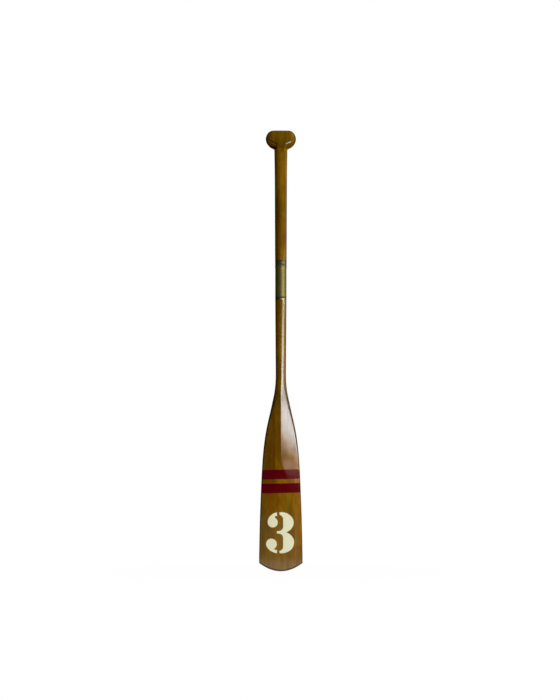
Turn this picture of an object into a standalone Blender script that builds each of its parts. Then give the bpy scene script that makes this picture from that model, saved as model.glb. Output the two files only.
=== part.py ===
"""A take-apart wooden rowing oar: a handle half and a blade half that screw together in a brass ferrule.

Metres, +Z up. The oar stands on the tip of its blade at the origin, with its axis on Z, the blade's
width along X and the blade's front face towards -Y. The joint turns about Z and travels along Z.
"""

import math

import bmesh
import bpy

# Lengths along the oar, from the tip upwards
BLADE_LENGTH = 0.668
LOOM_LENGTH = 0.257
SLEEVE_LENGTH = 0.1197
WASHER_THICKNESS = 0.0012
COLLAR_HEIGHT = 0.0135
HANDLE_LENGTH = 0.440

# Fits: touching pieces keep a seam, a thread keeps its own play
SEAM = 0.0003
THREAD_RADIAL_PLAY = 0.0004
THREAD_AXIAL_PLAY = 0.0003

# Round wood
THROAT_DIAMETER = 0.0349
WAIST_DIAMETER = 0.0423
NECK_DIAMETER = 0.0446
NECK_FLARE_LENGTH = 0.140

# Grip
GRIP_WIDTH = 0.1026
GRIP_THICKNESS = 0.038
GRIP_TOP_FLAT = 0.050
GRIP_SHOULDER_HEIGHT = 0.029
GRIP_BELLY_DEPTH = 0.0395
GRIP_EDGE_RADIUS = 0.005
GRIP_FACE_HALF_WIDTH = 0.033
GRIP_FACE_LOW_CENTRE = 0.28
GRIP_FACE_LOW_END = 0.53
GRIP_CORE_WIDTH = 0.040
FACE_RUN_OUT_LENGTH = 0.030
DOWEL_DIAMETER = 0.008
DOWEL_REACH = 0.014
DOWEL_SPACING = 0.020
DOWEL_BELOW_TOP = 0.016

# Blade
BLADE_WIDTH = 0.1478
BLADE_CENTRE_THICKNESS = 0.0130
BLADE_EDGE_THICKNESS = 0.0090
BLADE_NECK_EDGE_THICKNESS = 0.0130
BLADE_EDGE_RADIUS = 0.0032
BLADE_NECK_EDGE_RADIUS = 0.0100
TIP_EDGE_RADIUS = 0.0100
TIP_CURVE_RADIUS = 0.097
TIP_BLEND = 0.080
CENTRE_STAVE_WIDTH = 0.0390
INNER_STAVE_WIDTH = 0.0275
STAVE_FEATHER = 0.0015

# How the blade's section changes, with places as shares of the way down from the throat to the tip
SHOULDER_END = 0.14
FLAT_START = 0.42
FLAT_FULL = 0.56
FLAT_SHARE = 0.32
BOW_FULL = 0.60
FACET_BOW = 0.95
EDGE_BOW = 1.2

# Share of the way from the throat to the tip, and share of the way from throat width to full width
BLADE_OUTLINE = [
    (0.0, 0.0),
    (0.077, 0.061),
    (0.153, 0.238),
    (0.280, 0.570),
    (0.382, 0.740),
    (0.484, 0.830),
    (0.637, 0.912),
    (0.790, 0.971),
    (0.932, 1.0),
    (1.0, 1.0),
]

# Share of the way from the throat to the tip, and share left of the ridge's rise above the flat
RIDGE_LINE = [
    (0.0, 1.0),
    (0.147, 0.85),
    (0.239, 0.73),
    (0.316, 0.66),
    (0.392, 0.58),
    (0.448, 0.49),
    (0.509, 0.36),
    (0.580, 0.20),
    (0.650, 0.06),
    (0.710, 0.0),
    (0.750, 0.0),
    (1.0, 0.0),
]

# Ferrule
SLEEVE_DIAMETER = 0.0384
SLEEVE_WALL = 0.0014
MOUTH_BAND_THICKNESS = 0.0005
MOUTH_BAND_HEIGHT = 0.0105
MOUTH_BAND_SLOPE = 0.0060
CRIMP_HEIGHT = 0.0080
CRIMP_WIDTH = 0.0024
CRIMP_DEPTH = 0.0005
COLLAR_WALL = 0.0016
COLLAR_FLOOR = 0.0040
TANG_DIAMETER = 0.0120
TANG_LENGTH = 0.055
TANG_GROOVES = 3
TANG_GROOVE_WIDTH = 0.0016
TANG_GROOVE_DEPTH = 0.0008
PIN_DIAMETER = 0.0030
FITTING_PIN_BELOW_TANG_TOP = 0.0155
LOWER_PIN_ABOVE_SLEEVE_END = 0.020
UPPER_PIN_BELOW_TENON_TOP = 0.021

# Thread, trapezoidal, right-handed
THREAD_DIAMETER = 0.0220
THREAD_PITCH = 0.0050
THREAD_DEPTH = 0.00275
THREAD_FLANK_ANGLE = math.radians(15)
SPIGOT_LENGTH = 0.0280
SPIGOT_CHAMFER = 0.0030
SPIGOT_END_PLAY = 0.0025
BUSH_DEPTH = 0.0005
BUSH_LENGTH = 0.0265

# Facets
ROUND_STEPS = 40
THREAD_STEPS = 24
PIN_STEPS = 16
RUN_OUT_STEPS = 120
HANDLE_ROWS = 9
HANDLE_ROW_CROWDING = 1.4
GRIP_RINGS = 18
GRIP_CORNER_STEPS = 3
GRIP_BELLY_STEPS = 6
LOOM_ROWS = 5
BLADE_COLUMNS = 20
SHAPED_BLADE_ROWS = 24
PLAIN_BLADE_ROWS = 6
PLAIN_BLADE_FROM = 0.65
TIP_ROW_SHARES = (1.5, 0.9, 0.5, 0.25, 0.06, 0.0)

# Heights worked out from the lengths
THROAT_Z = BLADE_LENGTH
SLEEVE_LOW_Z = THROAT_Z + LOOM_LENGTH
SLEEVE_TOP_Z = SLEEVE_LOW_Z + SLEEVE_LENGTH
WASHER_LOW_Z = SLEEVE_TOP_Z + SEAM
COLLAR_LOW_Z = WASHER_LOW_Z + WASHER_THICKNESS + SEAM
COLLAR_FLOOR_Z = COLLAR_LOW_Z + COLLAR_FLOOR
COLLAR_TOP_Z = COLLAR_LOW_Z + COLLAR_HEIGHT
TOP_Z = COLLAR_TOP_Z + HANDLE_LENGTH
GRIP_WIDEST_Z = TOP_Z - GRIP_SHOULDER_HEIGHT
SPIGOT_END_Z = COLLAR_LOW_Z - SPIGOT_LENGTH
BUSH_TOP_Z = SLEEVE_TOP_Z - BUSH_DEPTH
BUSH_LOW_Z = BUSH_TOP_Z - BUSH_LENGTH
TENON_TOP_Z = min(SPIGOT_END_Z - SPIGOT_END_PLAY, BUSH_LOW_Z - SEAM)
TANG_TOP_Z = COLLAR_FLOOR_Z + TANG_LENGTH

# Radii worked out from the diameters
SLEEVE_RADIUS = SLEEVE_DIAMETER / 2
SLEEVE_BORE = SLEEVE_RADIUS - SLEEVE_WALL
COLLAR_RADIUS = SLEEVE_RADIUS + MOUTH_BAND_THICKNESS
COLLAR_BORE = COLLAR_RADIUS - COLLAR_WALL
CREST_RADIUS = THREAD_DIAMETER / 2
ROOT_RADIUS = CREST_RADIUS - THREAD_DEPTH
PIN_RADIUS = PIN_DIAMETER / 2


def clear_scene():
    for thing in list(bpy.data.objects):
        bpy.data.objects.remove(thing, do_unlink=True)


def new_collection(name):
    collection = bpy.data.collections.new(name)
    bpy.context.scene.collection.children.link(collection)
    return collection


clear_scene()
OAR = new_collection("oar")
CUTTERS = new_collection("cutters")


def material(name, colour, roughness, metallic=0.0):
    made = bpy.data.materials.new(name)
    made.use_nodes = True
    shader = made.node_tree.nodes["Principled BSDF"]
    shader.inputs["Base Color"].default_value = (*colour, 1.0)
    shader.inputs["Roughness"].default_value = roughness
    shader.inputs["Metallic"].default_value = metallic
    made.diffuse_color = (*colour, 1.0)
    return made


WOOD = material("varnished_wood", (0.175, 0.085, 0.008), 0.25)
BRASS = material("antique_brass", (0.30, 0.25, 0.09), 0.38, 1.0)
DARK_BRASS = material("darkened_brass", (0.14, 0.11, 0.06), 0.42, 1.0)
LEATHER = material("washer_leather", (0.05, 0.03, 0.015), 0.8)


def object_from(bm, name, finish=None):
    """An object of this bmesh: a sub-part when it has a finish, else a cutter."""
    mesh = bpy.data.meshes.new(name)
    bmesh.ops.recalc_face_normals(bm, faces=bm.faces)
    if bm.calc_volume(signed=True) < 0:
        bmesh.ops.reverse_faces(bm, faces=bm.faces)
    bm.to_mesh(mesh)
    bm.free()
    made = bpy.data.objects.new(name, mesh)
    if finish:
        mesh.materials.append(finish)
        mesh.shade_smooth()
        mesh.set_sharp_from_angle(angle=math.radians(35))
        OAR.objects.link(made)
    else:
        made.hide_render = True
        made.display_type = "WIRE"
        CUTTERS.objects.link(made)
    return made


def boolean(piece, operation, *others):
    for other in others:
        step = piece.modifiers.new(other.name, "BOOLEAN")
        step.operation = operation
        step.object = other
        step.solver = "EXACT"


def turned(name, profile, finish=None, steps=ROUND_STEPS):
    """A turned piece. The profile's (radius, height) points run down its outer side."""
    mesh = bpy.data.meshes.new(name)
    points = [(radius, 0.0, height) for radius, height in profile]
    edges = [(i, i + 1) for i in range(len(points) - 1)]
    if profile[0][0] > 0:
        edges.append((len(points) - 1, 0))
    mesh.from_pydata(points, edges, [])
    made = bpy.data.objects.new(name, mesh)
    screw = made.modifiers.new("turn", "SCREW")
    screw.axis = "Z"
    screw.steps = steps
    screw.render_steps = steps
    screw.use_merge_vertices = True
    screw.merge_threshold = 0.00001
    screw.use_smooth_shade = True
    if finish:
        mesh.materials.append(finish)
        OAR.objects.link(made)
    else:
        made.hide_render = True
        made.display_type = "WIRE"
        CUTTERS.objects.link(made)
    return made


def box(name, low, high):
    """A cutting box between two corners."""
    bm = bmesh.new()
    bmesh.ops.create_cube(bm, size=1.0)
    for vert in bm.verts:
        vert.co = [a + (b - a) * (c + 0.5) for a, b, c in zip(low, high, vert.co)]
    return object_from(bm, name)


def cross_rod(name, radius, length, height, finish=None, steps=PIN_STEPS, depth=0.0):
    """A round rod across the oar along X, centred on the axis, or at depth in front of it."""
    bm = bmesh.new()
    bmesh.ops.create_cone(
        bm, cap_ends=True, segments=steps, radius1=radius, radius2=radius, depth=length
    )
    for vert in bm.verts:
        vert.co = (vert.co.z, vert.co.x - depth, vert.co.y + height)
    return object_from(bm, name, finish)


def smooth_step(value):
    value = min(max(value, 0.0), 1.0)
    return value * value * (3 - 2 * value)


def rounded(distance, radius):
    """Height share of a rounded edge at this distance inside it."""
    inside = min(max(distance / radius, 0.0), 1.0)
    return math.sqrt(max(0.0, 1 - (1 - inside) ** 2))


def along_curve(points, place):
    """A smooth curve through the points, with slopes taken from their neighbours."""
    last = len(points) - 1
    place = min(max(place, points[0][0]), points[-1][0])
    slopes = []
    for i in range(last + 1):
        before, after = points[max(i - 1, 0)], points[min(i + 1, last)]
        slopes.append((after[1] - before[1]) / (after[0] - before[0]))
    slopes[0] = 0.0
    slopes[last] = 0.0
    index = next(i for i in range(last) if place <= points[i + 1][0])
    (x0, y0), (x1, y1) = points[index], points[index + 1]
    span = x1 - x0
    u = (place - x0) / span
    start = (2 * u**3 - 3 * u**2 + 1) * y0 + (u**3 - 2 * u**2 + u) * span * slopes[index]
    end = (-2 * u**3 + 3 * u**2) * y1 + (u**3 - u**2) * span * slopes[index + 1]
    return start + end


# Handle half


def handle_radius(z):
    """The handle's round shaft: a straight taper, with a flare up to the neck."""
    waist = WAIST_DIAMETER / 2
    up = (z - COLLAR_TOP_Z) / (NECK_Z - COLLAR_TOP_Z)
    flare = min(max((z - NECK_Z) / NECK_FLARE_LENGTH + 1, 0.0), 1.0)
    return COLLAR_RADIUS + (waist - COLLAR_RADIUS) * up + (NECK_DIAMETER / 2 - waist) * flare**2


def grip_bottom(x):
    reach = GRIP_WIDTH / 2
    return GRIP_WIDEST_Z - GRIP_BELLY_DEPTH * math.sqrt(max(0.0, 1 - (x / reach) ** 2))


def grip_top(x):
    shoulder = (GRIP_WIDTH - GRIP_TOP_FLAT) / 2
    over = min(max((abs(x) - GRIP_TOP_FLAT / 2) / shoulder, 0.0), 1.0)
    return GRIP_WIDEST_Z + GRIP_SHOULDER_HEIGHT * math.sqrt(1 - over**2)


def grip_half_thickness(x):
    over = (abs(x) - GRIP_FACE_HALF_WIDTH) / (GRIP_WIDTH / 2 - GRIP_FACE_HALF_WIDTH)
    over = min(max(over, 0.0), 1.0)
    return GRIP_THICKNESS / 2 * math.sqrt(1 - over**2)


def grip_face_low(x):
    """Lowest height of the grip's flat face: the face narrows to a V above the neck."""
    share = GRIP_FACE_LOW_CENTRE
    share += (GRIP_FACE_LOW_END - GRIP_FACE_LOW_CENTRE) * abs(x) / (GRIP_WIDTH / 2)
    return grip_bottom(x) + share * (grip_top(x) - grip_bottom(x))


NECK_Z = grip_bottom(NECK_DIAMETER / 2)


def grip_section(x):
    """The grip's outline across X, from the top's middle down its front and up its back."""
    depth = grip_half_thickness(x)
    top, low, bottom = grip_top(x), grip_face_low(x), grip_bottom(x)
    radius = min(GRIP_EDGE_RADIUS, depth / 2, (top - low) / 2)
    front = [(0.0, top)]
    for i in range(GRIP_CORNER_STEPS + 1):
        turn = math.pi / 2 * i / GRIP_CORNER_STEPS
        front.append((depth - radius * (1 - math.sin(turn)), top - radius * (1 - math.cos(turn))))
    for i in range(GRIP_BELLY_STEPS):
        turn = math.pi / 2 * i / GRIP_BELLY_STEPS
        front.append((depth * math.cos(turn), low - (low - bottom) * math.sin(turn)))
    back = [(-y, z) for y, z in reversed(front[1:])]
    return [(-y, z) for y, z in front + [(0.0, bottom)] + back]


def grip_blank(name, finish=None):
    """The whole palm grip: a ball drawn out along X, whose rings take the grip's sections."""
    corners = len(grip_section(0.0))
    bm = bmesh.new()
    bmesh.ops.create_uvsphere(bm, u_segments=corners, v_segments=GRIP_RINGS, radius=1.0)
    for vert in bm.verts:
        ball = vert.co.copy()
        x = GRIP_WIDTH / 2 * ball.z
        turn = math.atan2(ball.y, ball.x) / (2 * math.pi)
        y, z = grip_section(x)[round(turn * corners) % corners]
        if abs(ball.z) > 0.9999:
            y, z = 0.0, GRIP_WIDEST_Z
        vert.co = (x, y, z)
    bmesh.ops.triangulate(bm, faces=bm.faces)
    return object_from(bm, name, finish)


def face_cutters():
    """What flattens the grip's front and back, with a curved run-out down into the round neck."""
    face = GRIP_THICKNESS / 2
    out = NECK_DIAMETER / 2
    start = NECK_Z + FACE_RUN_OUT_LENGTH / 2
    sink = max(out - face, SEAM)
    radius = (FACE_RUN_OUT_LENGTH**2 + sink**2) / (2 * sink)
    made = []
    for side, place in ((-1, "front"), (1, "back")):
        near, far = sorted((side * face, side * 2 * out))
        made.append(
            box(f"{place}_face_cut", (-GRIP_WIDTH, near, start), (GRIP_WIDTH, far, TOP_Z + out))
        )
        rod = cross_rod(
            f"{place}_run_out_cut",
            radius,
            2 * GRIP_WIDTH,
            start,
            steps=RUN_OUT_STEPS,
            depth=-side * (face + radius),
        )
        made.append(rod)
    return made


def make_dowels():
    """Wooden dowels across the grip, and the cutters for their holes."""
    length = GRIP_CORE_WIDTH + 2 * DOWEL_REACH
    radius = DOWEL_DIAMETER / 2
    upper = TOP_Z - DOWEL_BELOW_TOP
    holes = []
    for level, height in (("lower", upper - DOWEL_SPACING), ("upper", upper)):
        cross_rod(f"grip_dowel_{level}", radius, length, height, WOOD)
        name = f"{level}_dowel_hole"
        holes.append(cross_rod(name, radius + SEAM, length + 2 * SEAM, height))
    return holes


def grip_side_box(name, side, near, low):
    """Everything beyond this distance from the axis on one side, above a height."""
    low_x, high_x = sorted((side * near, side * GRIP_WIDTH))
    return box(name, (low_x, -GRIP_WIDTH, low), (high_x, GRIP_WIDTH, 2 * TOP_Z))


def make_grip_and_shaft():
    """The shaft, which runs up as the grip's core, and the two cheeks glued to its flats."""
    core = GRIP_CORE_WIDTH / 2
    tenon = COLLAR_BORE - SEAM
    shoulder = COLLAR_TOP_Z + SEAM
    tenon_low = COLLAR_FLOOR_Z + SEAM
    profile = [(0.0, GRIP_WIDEST_Z), (NECK_DIAMETER / 2, GRIP_WIDEST_Z)]
    for i in range(HANDLE_ROWS + 1):
        z = NECK_Z + (shoulder - NECK_Z) * (i / HANDLE_ROWS) ** HANDLE_ROW_CROWDING
        profile.append((handle_radius(z), z))
    profile += [(tenon, shoulder), (tenon, tenon_low), (0.0, tenon_low)]
    bore_radius = TANG_DIAMETER / 2 + SEAM
    bore_top = TANG_TOP_Z + SEAM
    bore_profile = [(0.0, bore_top), (bore_radius, bore_top)]
    bore_profile += [(bore_radius, COLLAR_LOW_Z), (0.0, COLLAR_LOW_Z)]
    holes = make_dowels()
    shaft = turned("upper_shaft", profile, WOOD)
    boolean(shaft, "UNION", grip_blank("grip_core"))
    boolean(shaft, "DIFFERENCE", *face_cutters())
    for side, place in ((-1, "left"), (1, "right")):
        boolean(shaft, "DIFFERENCE", grip_side_box(f"{place}_cheek_room", side, core, NECK_Z))
        cheek = grip_blank(f"grip_cheek_{place}", WOOD)
        boolean(cheek, "DIFFERENCE", *holes)
        keep = grip_side_box(f"{place}_cheek_keep", side, core + SEAM, NECK_Z + SEAM)
        boolean(cheek, "INTERSECT", keep)
    boolean(shaft, "DIFFERENCE", *holes, turned("tang_bore", bore_profile, steps=PIN_STEPS))
    return shaft


# Screw joint


def thread_body(name, growth=0.0, axial=0.0, low=0.0, high=1.0):
    """A threaded rod between two heights. Growth and axial play make the same thread larger."""
    lean = math.tan(THREAD_FLANK_ANGLE)
    crest, root = CREST_RADIUS + growth, ROOT_RADIUS + growth
    half_at_pitch_line = THREAD_PITCH / 4
    half_crest = half_at_pitch_line - THREAD_DEPTH / 2 * lean + axial - growth * lean
    half_root = half_crest + THREAD_DEPTH * lean
    profile = [
        (root, -half_root),
        (crest, -half_crest),
        (crest, half_crest),
        (root, half_root),
        (root, THREAD_PITCH - half_root),
    ]
    below = math.ceil((COLLAR_LOW_Z - low) / THREAD_PITCH) + 2
    above = math.ceil((high - COLLAR_LOW_Z) / THREAD_PITCH) + 2
    start = COLLAR_LOW_Z - below * THREAD_PITCH
    bm = bmesh.new()
    verts = [bm.verts.new((radius, 0.0, start + height)) for radius, height in profile]
    edges = [bm.edges.new(pair) for pair in zip(verts, verts[1:])]
    turns = below + above
    bmesh.ops.spin(
        bm,
        geom=verts + edges,
        cent=(0, 0, 0),
        axis=(0, 0, 1),
        dvec=(0, 0, THREAD_PITCH / THREAD_STEPS),
        angle=2 * math.pi * turns,
        steps=THREAD_STEPS * turns,
    )
    bmesh.ops.remove_doubles(bm, verts=bm.verts, dist=0.00001)
    for height, up in ((low, -1), (high, 1)):
        whole = bm.verts[:] + bm.edges[:] + bm.faces[:]
        bmesh.ops.bisect_plane(
            bm, geom=whole, plane_co=(0, 0, height), plane_no=(0, 0, up), clear_outer=True
        )
    rims = [edge for edge in bm.edges if edge.is_boundary]
    bmesh.ops.holes_fill(bm, edges=rims, sides=0)
    return object_from(bm, name)


def make_screw_fitting():
    """The male fitting: a cup over the shaft's end, a grooved tang above it and a threaded spigot."""
    tang = TANG_DIAMETER / 2
    core = tang - TANG_GROOVE_DEPTH
    profile = [(0.0, TANG_TOP_Z), (core, TANG_TOP_Z), (tang, TANG_TOP_Z - TANG_GROOVE_DEPTH)]
    for i in range(TANG_GROOVES):
        z = TANG_TOP_Z - (i + 1) * TANG_LENGTH / (TANG_GROOVES + 2)
        profile += [
            (tang, z),
            (core, z - TANG_GROOVE_WIDTH / 4),
            (core, z - TANG_GROOVE_WIDTH * 3 / 4),
            (tang, z - TANG_GROOVE_WIDTH),
        ]
    profile += [
        (tang, COLLAR_FLOOR_Z),
        (COLLAR_BORE, COLLAR_FLOOR_Z),
        (COLLAR_BORE, COLLAR_TOP_Z),
        (COLLAR_RADIUS, COLLAR_TOP_Z),
        (COLLAR_RADIUS, COLLAR_LOW_Z),
        (0.0, COLLAR_LOW_Z),
    ]
    fitting = turned("screw_fitting", profile, DARK_BRASS)
    spigot = thread_body("spigot", low=SPIGOT_END_Z, high=COLLAR_LOW_Z + COLLAR_FLOOR / 2)
    wide = CREST_RADIUS + SPIGOT_CHAMFER
    envelope = turned(
        "spigot_outline",
        [
            (0.0, COLLAR_TOP_Z),
            (wide, COLLAR_TOP_Z),
            (wide, SPIGOT_END_Z + 2 * SPIGOT_CHAMFER),
            (wide - 2 * SPIGOT_CHAMFER, SPIGOT_END_Z),
            (0.0, SPIGOT_END_Z),
        ],
        steps=THREAD_STEPS,
    )
    boolean(spigot, "INTERSECT", envelope)
    boolean(fitting, "UNION", spigot)
    return fitting


def make_washer():
    inner = CREST_RADIUS + 2 * THREAD_RADIAL_PLAY
    outer = SLEEVE_RADIUS
    high = WASHER_LOW_Z + WASHER_THICKNESS
    turned(
        "joint_washer",
        [(inner, high), (outer, high), (outer, WASHER_LOW_Z), (inner, WASHER_LOW_Z)],
        LEATHER,
    )


def make_sleeve():
    band_low = SLEEVE_TOP_Z - MOUTH_BAND_HEIGHT
    crimp = SLEEVE_LOW_Z + CRIMP_HEIGHT
    half = CRIMP_WIDTH / 2
    return turned(
        "ferrule_sleeve",
        [
            (SLEEVE_BORE, SLEEVE_TOP_Z),
            (COLLAR_RADIUS, SLEEVE_TOP_Z),
            (COLLAR_RADIUS, band_low),
            (SLEEVE_RADIUS, band_low - MOUTH_BAND_SLOPE),
            (SLEEVE_RADIUS, crimp + half),
            (SLEEVE_RADIUS - CRIMP_DEPTH, crimp + half / 3),
            (SLEEVE_RADIUS - CRIMP_DEPTH, crimp - half / 3),
            (SLEEVE_RADIUS, crimp - half),
            (SLEEVE_RADIUS, SLEEVE_LOW_Z),
            (SLEEVE_BORE, SLEEVE_LOW_Z),
        ],
        BRASS,
    )


def make_bush():
    """The female fitting: a brass nut fixed in the sleeve's mouth."""
    radius = SLEEVE_BORE - SEAM
    top, low = BUSH_TOP_Z, BUSH_LOW_Z
    bush = turned("threaded_bush", [(0.0, top), (radius, top), (radius, low), (0.0, low)], BRASS)
    tap = thread_body(
        "tap",
        THREAD_RADIAL_PLAY,
        THREAD_AXIAL_PLAY,
        low - THREAD_PITCH,
        top + THREAD_PITCH,
    )
    lead = CREST_RADIUS + 2 * THREAD_RADIAL_PLAY
    mouth = turned(
        "bush_mouth",
        [
            (0.0, top + THREAD_DEPTH),
            (lead + THREAD_DEPTH, top + THREAD_DEPTH),
            (lead - THREAD_DEPTH, top - THREAD_DEPTH),
            (0.0, top - THREAD_DEPTH),
        ],
        steps=THREAD_STEPS,
    )
    boolean(bush, "DIFFERENCE", tap, mouth)


def make_pins(shaft, fitting, sleeve, loom):
    """Brass cross pins with flush ends: one for the tang, two for the sleeve."""
    height = TANG_TOP_Z - FITTING_PIN_BELOW_TANG_TOP
    cross_rod("fitting_pin", PIN_RADIUS, 2 * handle_radius(height), height, BRASS)
    hole = cross_rod("fitting_pin_hole", PIN_RADIUS + SEAM, 2 * GRIP_WIDTH, height)
    boolean(shaft, "DIFFERENCE", hole)
    boolean(fitting, "DIFFERENCE", hole)
    lower = SLEEVE_LOW_Z + LOWER_PIN_ABOVE_SLEEVE_END
    upper = TENON_TOP_Z - UPPER_PIN_BELOW_TENON_TOP
    for level, height in (("lower", lower), ("upper", upper)):
        cross_rod(f"sleeve_pin_{level}", PIN_RADIUS, SLEEVE_DIAMETER, height, BRASS)
        hole = cross_rod(f"sleeve_pin_hole_{level}", PIN_RADIUS + SEAM, BLADE_WIDTH, height)
        boolean(sleeve, "DIFFERENCE", hole)
        boolean(loom, "DIFFERENCE", hole)


# Blade half


def half_width(down):
    """Half the blade's width, by the share of the way down from the throat to the tip."""
    throat = THROAT_DIAMETER / 2
    return throat + (BLADE_WIDTH / 2 - throat) * along_curve(BLADE_OUTLINE, down)


HALVINGS = 40


def height_at_half_width(wanted):
    """Height at which the blade is this wide, found by halving."""
    upper, lower = 0.0, 1.0
    for _ in range(HALVINGS):
        middle = (upper + lower) / 2
        if half_width(middle) < wanted:
            upper = middle
        else:
            lower = middle
    return THROAT_Z - upper * BLADE_LENGTH


def half_thickness(across, down, from_tip):
    """Half the blade's thickness: round at the throat, then ridged, then flat in the middle.

    Across is 0 on the ridge and 1 on the edge, down is 0 at the throat and 1 at the tip.
    """
    width = half_width(down)
    centre_low = BLADE_CENTRE_THICKNESS / 2
    centre = centre_low + (THROAT_DIAMETER / 2 - centre_low) * along_curve(RIDGE_LINE, down)
    near = (1 - down) ** 2
    edge_low = BLADE_EDGE_THICKNESS / 2
    edge = edge_low + (BLADE_NECK_EDGE_THICKNESS / 2 - edge_low) * near
    radius = BLADE_EDGE_RADIUS + (BLADE_NECK_EDGE_RADIUS - BLADE_EDGE_RADIUS) * near
    flat = FLAT_SHARE * smooth_step((down - FLAT_START) / (FLAT_FULL - FLAT_START))
    bow = smooth_step((down - FLAT_START) / (BOW_FULL - FLAT_START))
    bow = FACET_BOW + (EDGE_BOW - FACET_BOW) * bow
    beyond = max(0.0, (across - flat) / (1 - flat))
    plate = edge + (centre - edge) * (1 - beyond**bow)
    plate *= rounded(width * (1 - across), min(radius, width / 2))
    plate *= rounded(from_tip, TIP_EDGE_RADIUS)
    loom = centre * math.sqrt(max(0.0, 1 - across**2))
    return loom + (plate - loom) * smooth_step(down / SHOULDER_END)


def blade_rows():
    """Rows of the blade half from the top: (height, radius or None where the blade begins)."""
    tenon = SLEEVE_BORE - SEAM
    shoulder = SLEEVE_LOW_Z - SEAM
    throat = THROAT_DIAMETER / 2
    rows = [(TENON_TOP_Z, tenon), (shoulder, tenon)]
    for i in range(LOOM_ROWS):
        share = i / LOOM_ROWS
        radius = SLEEVE_RADIUS + (throat - SLEEVE_RADIUS) * share
        rows.append((shoulder + (THROAT_Z - shoulder) * share, radius))
    tip = [TIP_EDGE_RADIUS * share for share in TIP_ROW_SHARES]
    middle = THROAT_Z - BLADE_LENGTH * PLAIN_BLADE_FROM
    for i in range(SHAPED_BLADE_ROWS):
        rows.append((THROAT_Z + (middle - THROAT_Z) * i / SHAPED_BLADE_ROWS, None))
    for i in range(PLAIN_BLADE_ROWS):
        rows.append((middle + (tip[0] - middle) * i / PLAIN_BLADE_ROWS, None))
    return rows + [(height, None) for height in tip]


def blade_blank(name, finish=None):
    """The whole blade half before its staves are parted: a grid laid over its front, mirrored."""
    rows = blade_rows()
    bm = bmesh.new()
    bmesh.ops.create_grid(bm, x_segments=BLADE_COLUMNS, y_segments=len(rows) - 1, size=1.0)
    for vert in bm.verts:
        across = math.sin(math.pi / 2 * vert.co.x)
        height, radius = rows[round((1 - vert.co.y) / 2 * (len(rows) - 1))]
        if radius is not None:
            vert.co = (radius * across, -radius * math.sqrt(max(0.0, 1 - across**2)), height)
            continue
        down = 1 - height / BLADE_LENGTH
        x = half_width(down) * across
        tip = x**2 / (2 * TIP_CURVE_RADIUS)
        z = height + tip * (1 - smooth_step(height / TIP_BLEND))
        from_tip = (z - tip) / math.hypot(1, x / TIP_CURVE_RADIUS)
        vert.co = (x, -half_thickness(abs(across), down, from_tip), z)
    whole = bm.verts[:] + bm.edges[:] + bm.faces[:]
    bmesh.ops.mirror(bm, geom=whole, axis="Y", merge_dist=0.00001)
    bmesh.ops.remove_doubles(bm, verts=bm.verts, dist=0.00001)
    rims = [edge for edge in bm.edges if edge.is_boundary]
    bmesh.ops.holes_fill(bm, edges=rims, sides=0)
    return object_from(bm, name, finish)


def stave_box(name, side, near, high):
    """Everything beyond this distance from the axis on one side, below a height."""
    low_x, high_x = sorted((side * near, side * BLADE_WIDTH))
    return box(name, (low_x, -BLADE_WIDTH, -BLADE_WIDTH), (high_x, BLADE_WIDTH, high))


def make_blade():
    """The loom, whose lower end is the blade's centre stave, and two wing staves on each side."""
    inner_at = CENTRE_STAVE_WIDTH / 2
    outer_at = inner_at + INNER_STAVE_WIDTH
    inner_top = height_at_half_width(inner_at + STAVE_FEATHER)
    outer_top = height_at_half_width(outer_at + STAVE_FEATHER)
    loom = blade_blank("loom", WOOD)
    for side, place in ((-1, "left"), (1, "right")):
        boolean(loom, "DIFFERENCE", stave_box(f"{place}_wing_room", side, inner_at, inner_top))
        inner = blade_blank(f"blade_wing_{place}_inner", WOOD)
        keep = stave_box(f"{place}_inner_keep", side, inner_at + SEAM, inner_top - SEAM)
        room = stave_box(f"{place}_outer_room", side, outer_at, outer_top)
        boolean(inner, "INTERSECT", keep)
        boolean(inner, "DIFFERENCE", room)
        outer = blade_blank(f"blade_wing_{place}_outer", WOOD)
        keep = stave_box(f"{place}_outer_keep", side, outer_at + SEAM, outer_top - SEAM)
        boolean(outer, "INTERSECT", keep)
    return loom


def main():
    shaft = make_grip_and_shaft()
    fitting = make_screw_fitting()
    make_washer()
    sleeve = make_sleeve()
    make_bush()
    loom = make_blade()
    make_pins(shaft, fitting, sleeve, loom)


main()
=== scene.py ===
"""How a take-apart varnished rowing oar looks: its wood, paint, brass and leather.

Metres, +Z up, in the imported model's own frame. The oar stands on the tip of its blade, the shaft's
axis is Z and the front faces -Y. Heights and radii that a neighbour sets are read from the model.
"""

import math
from functools import partialmethod

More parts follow.
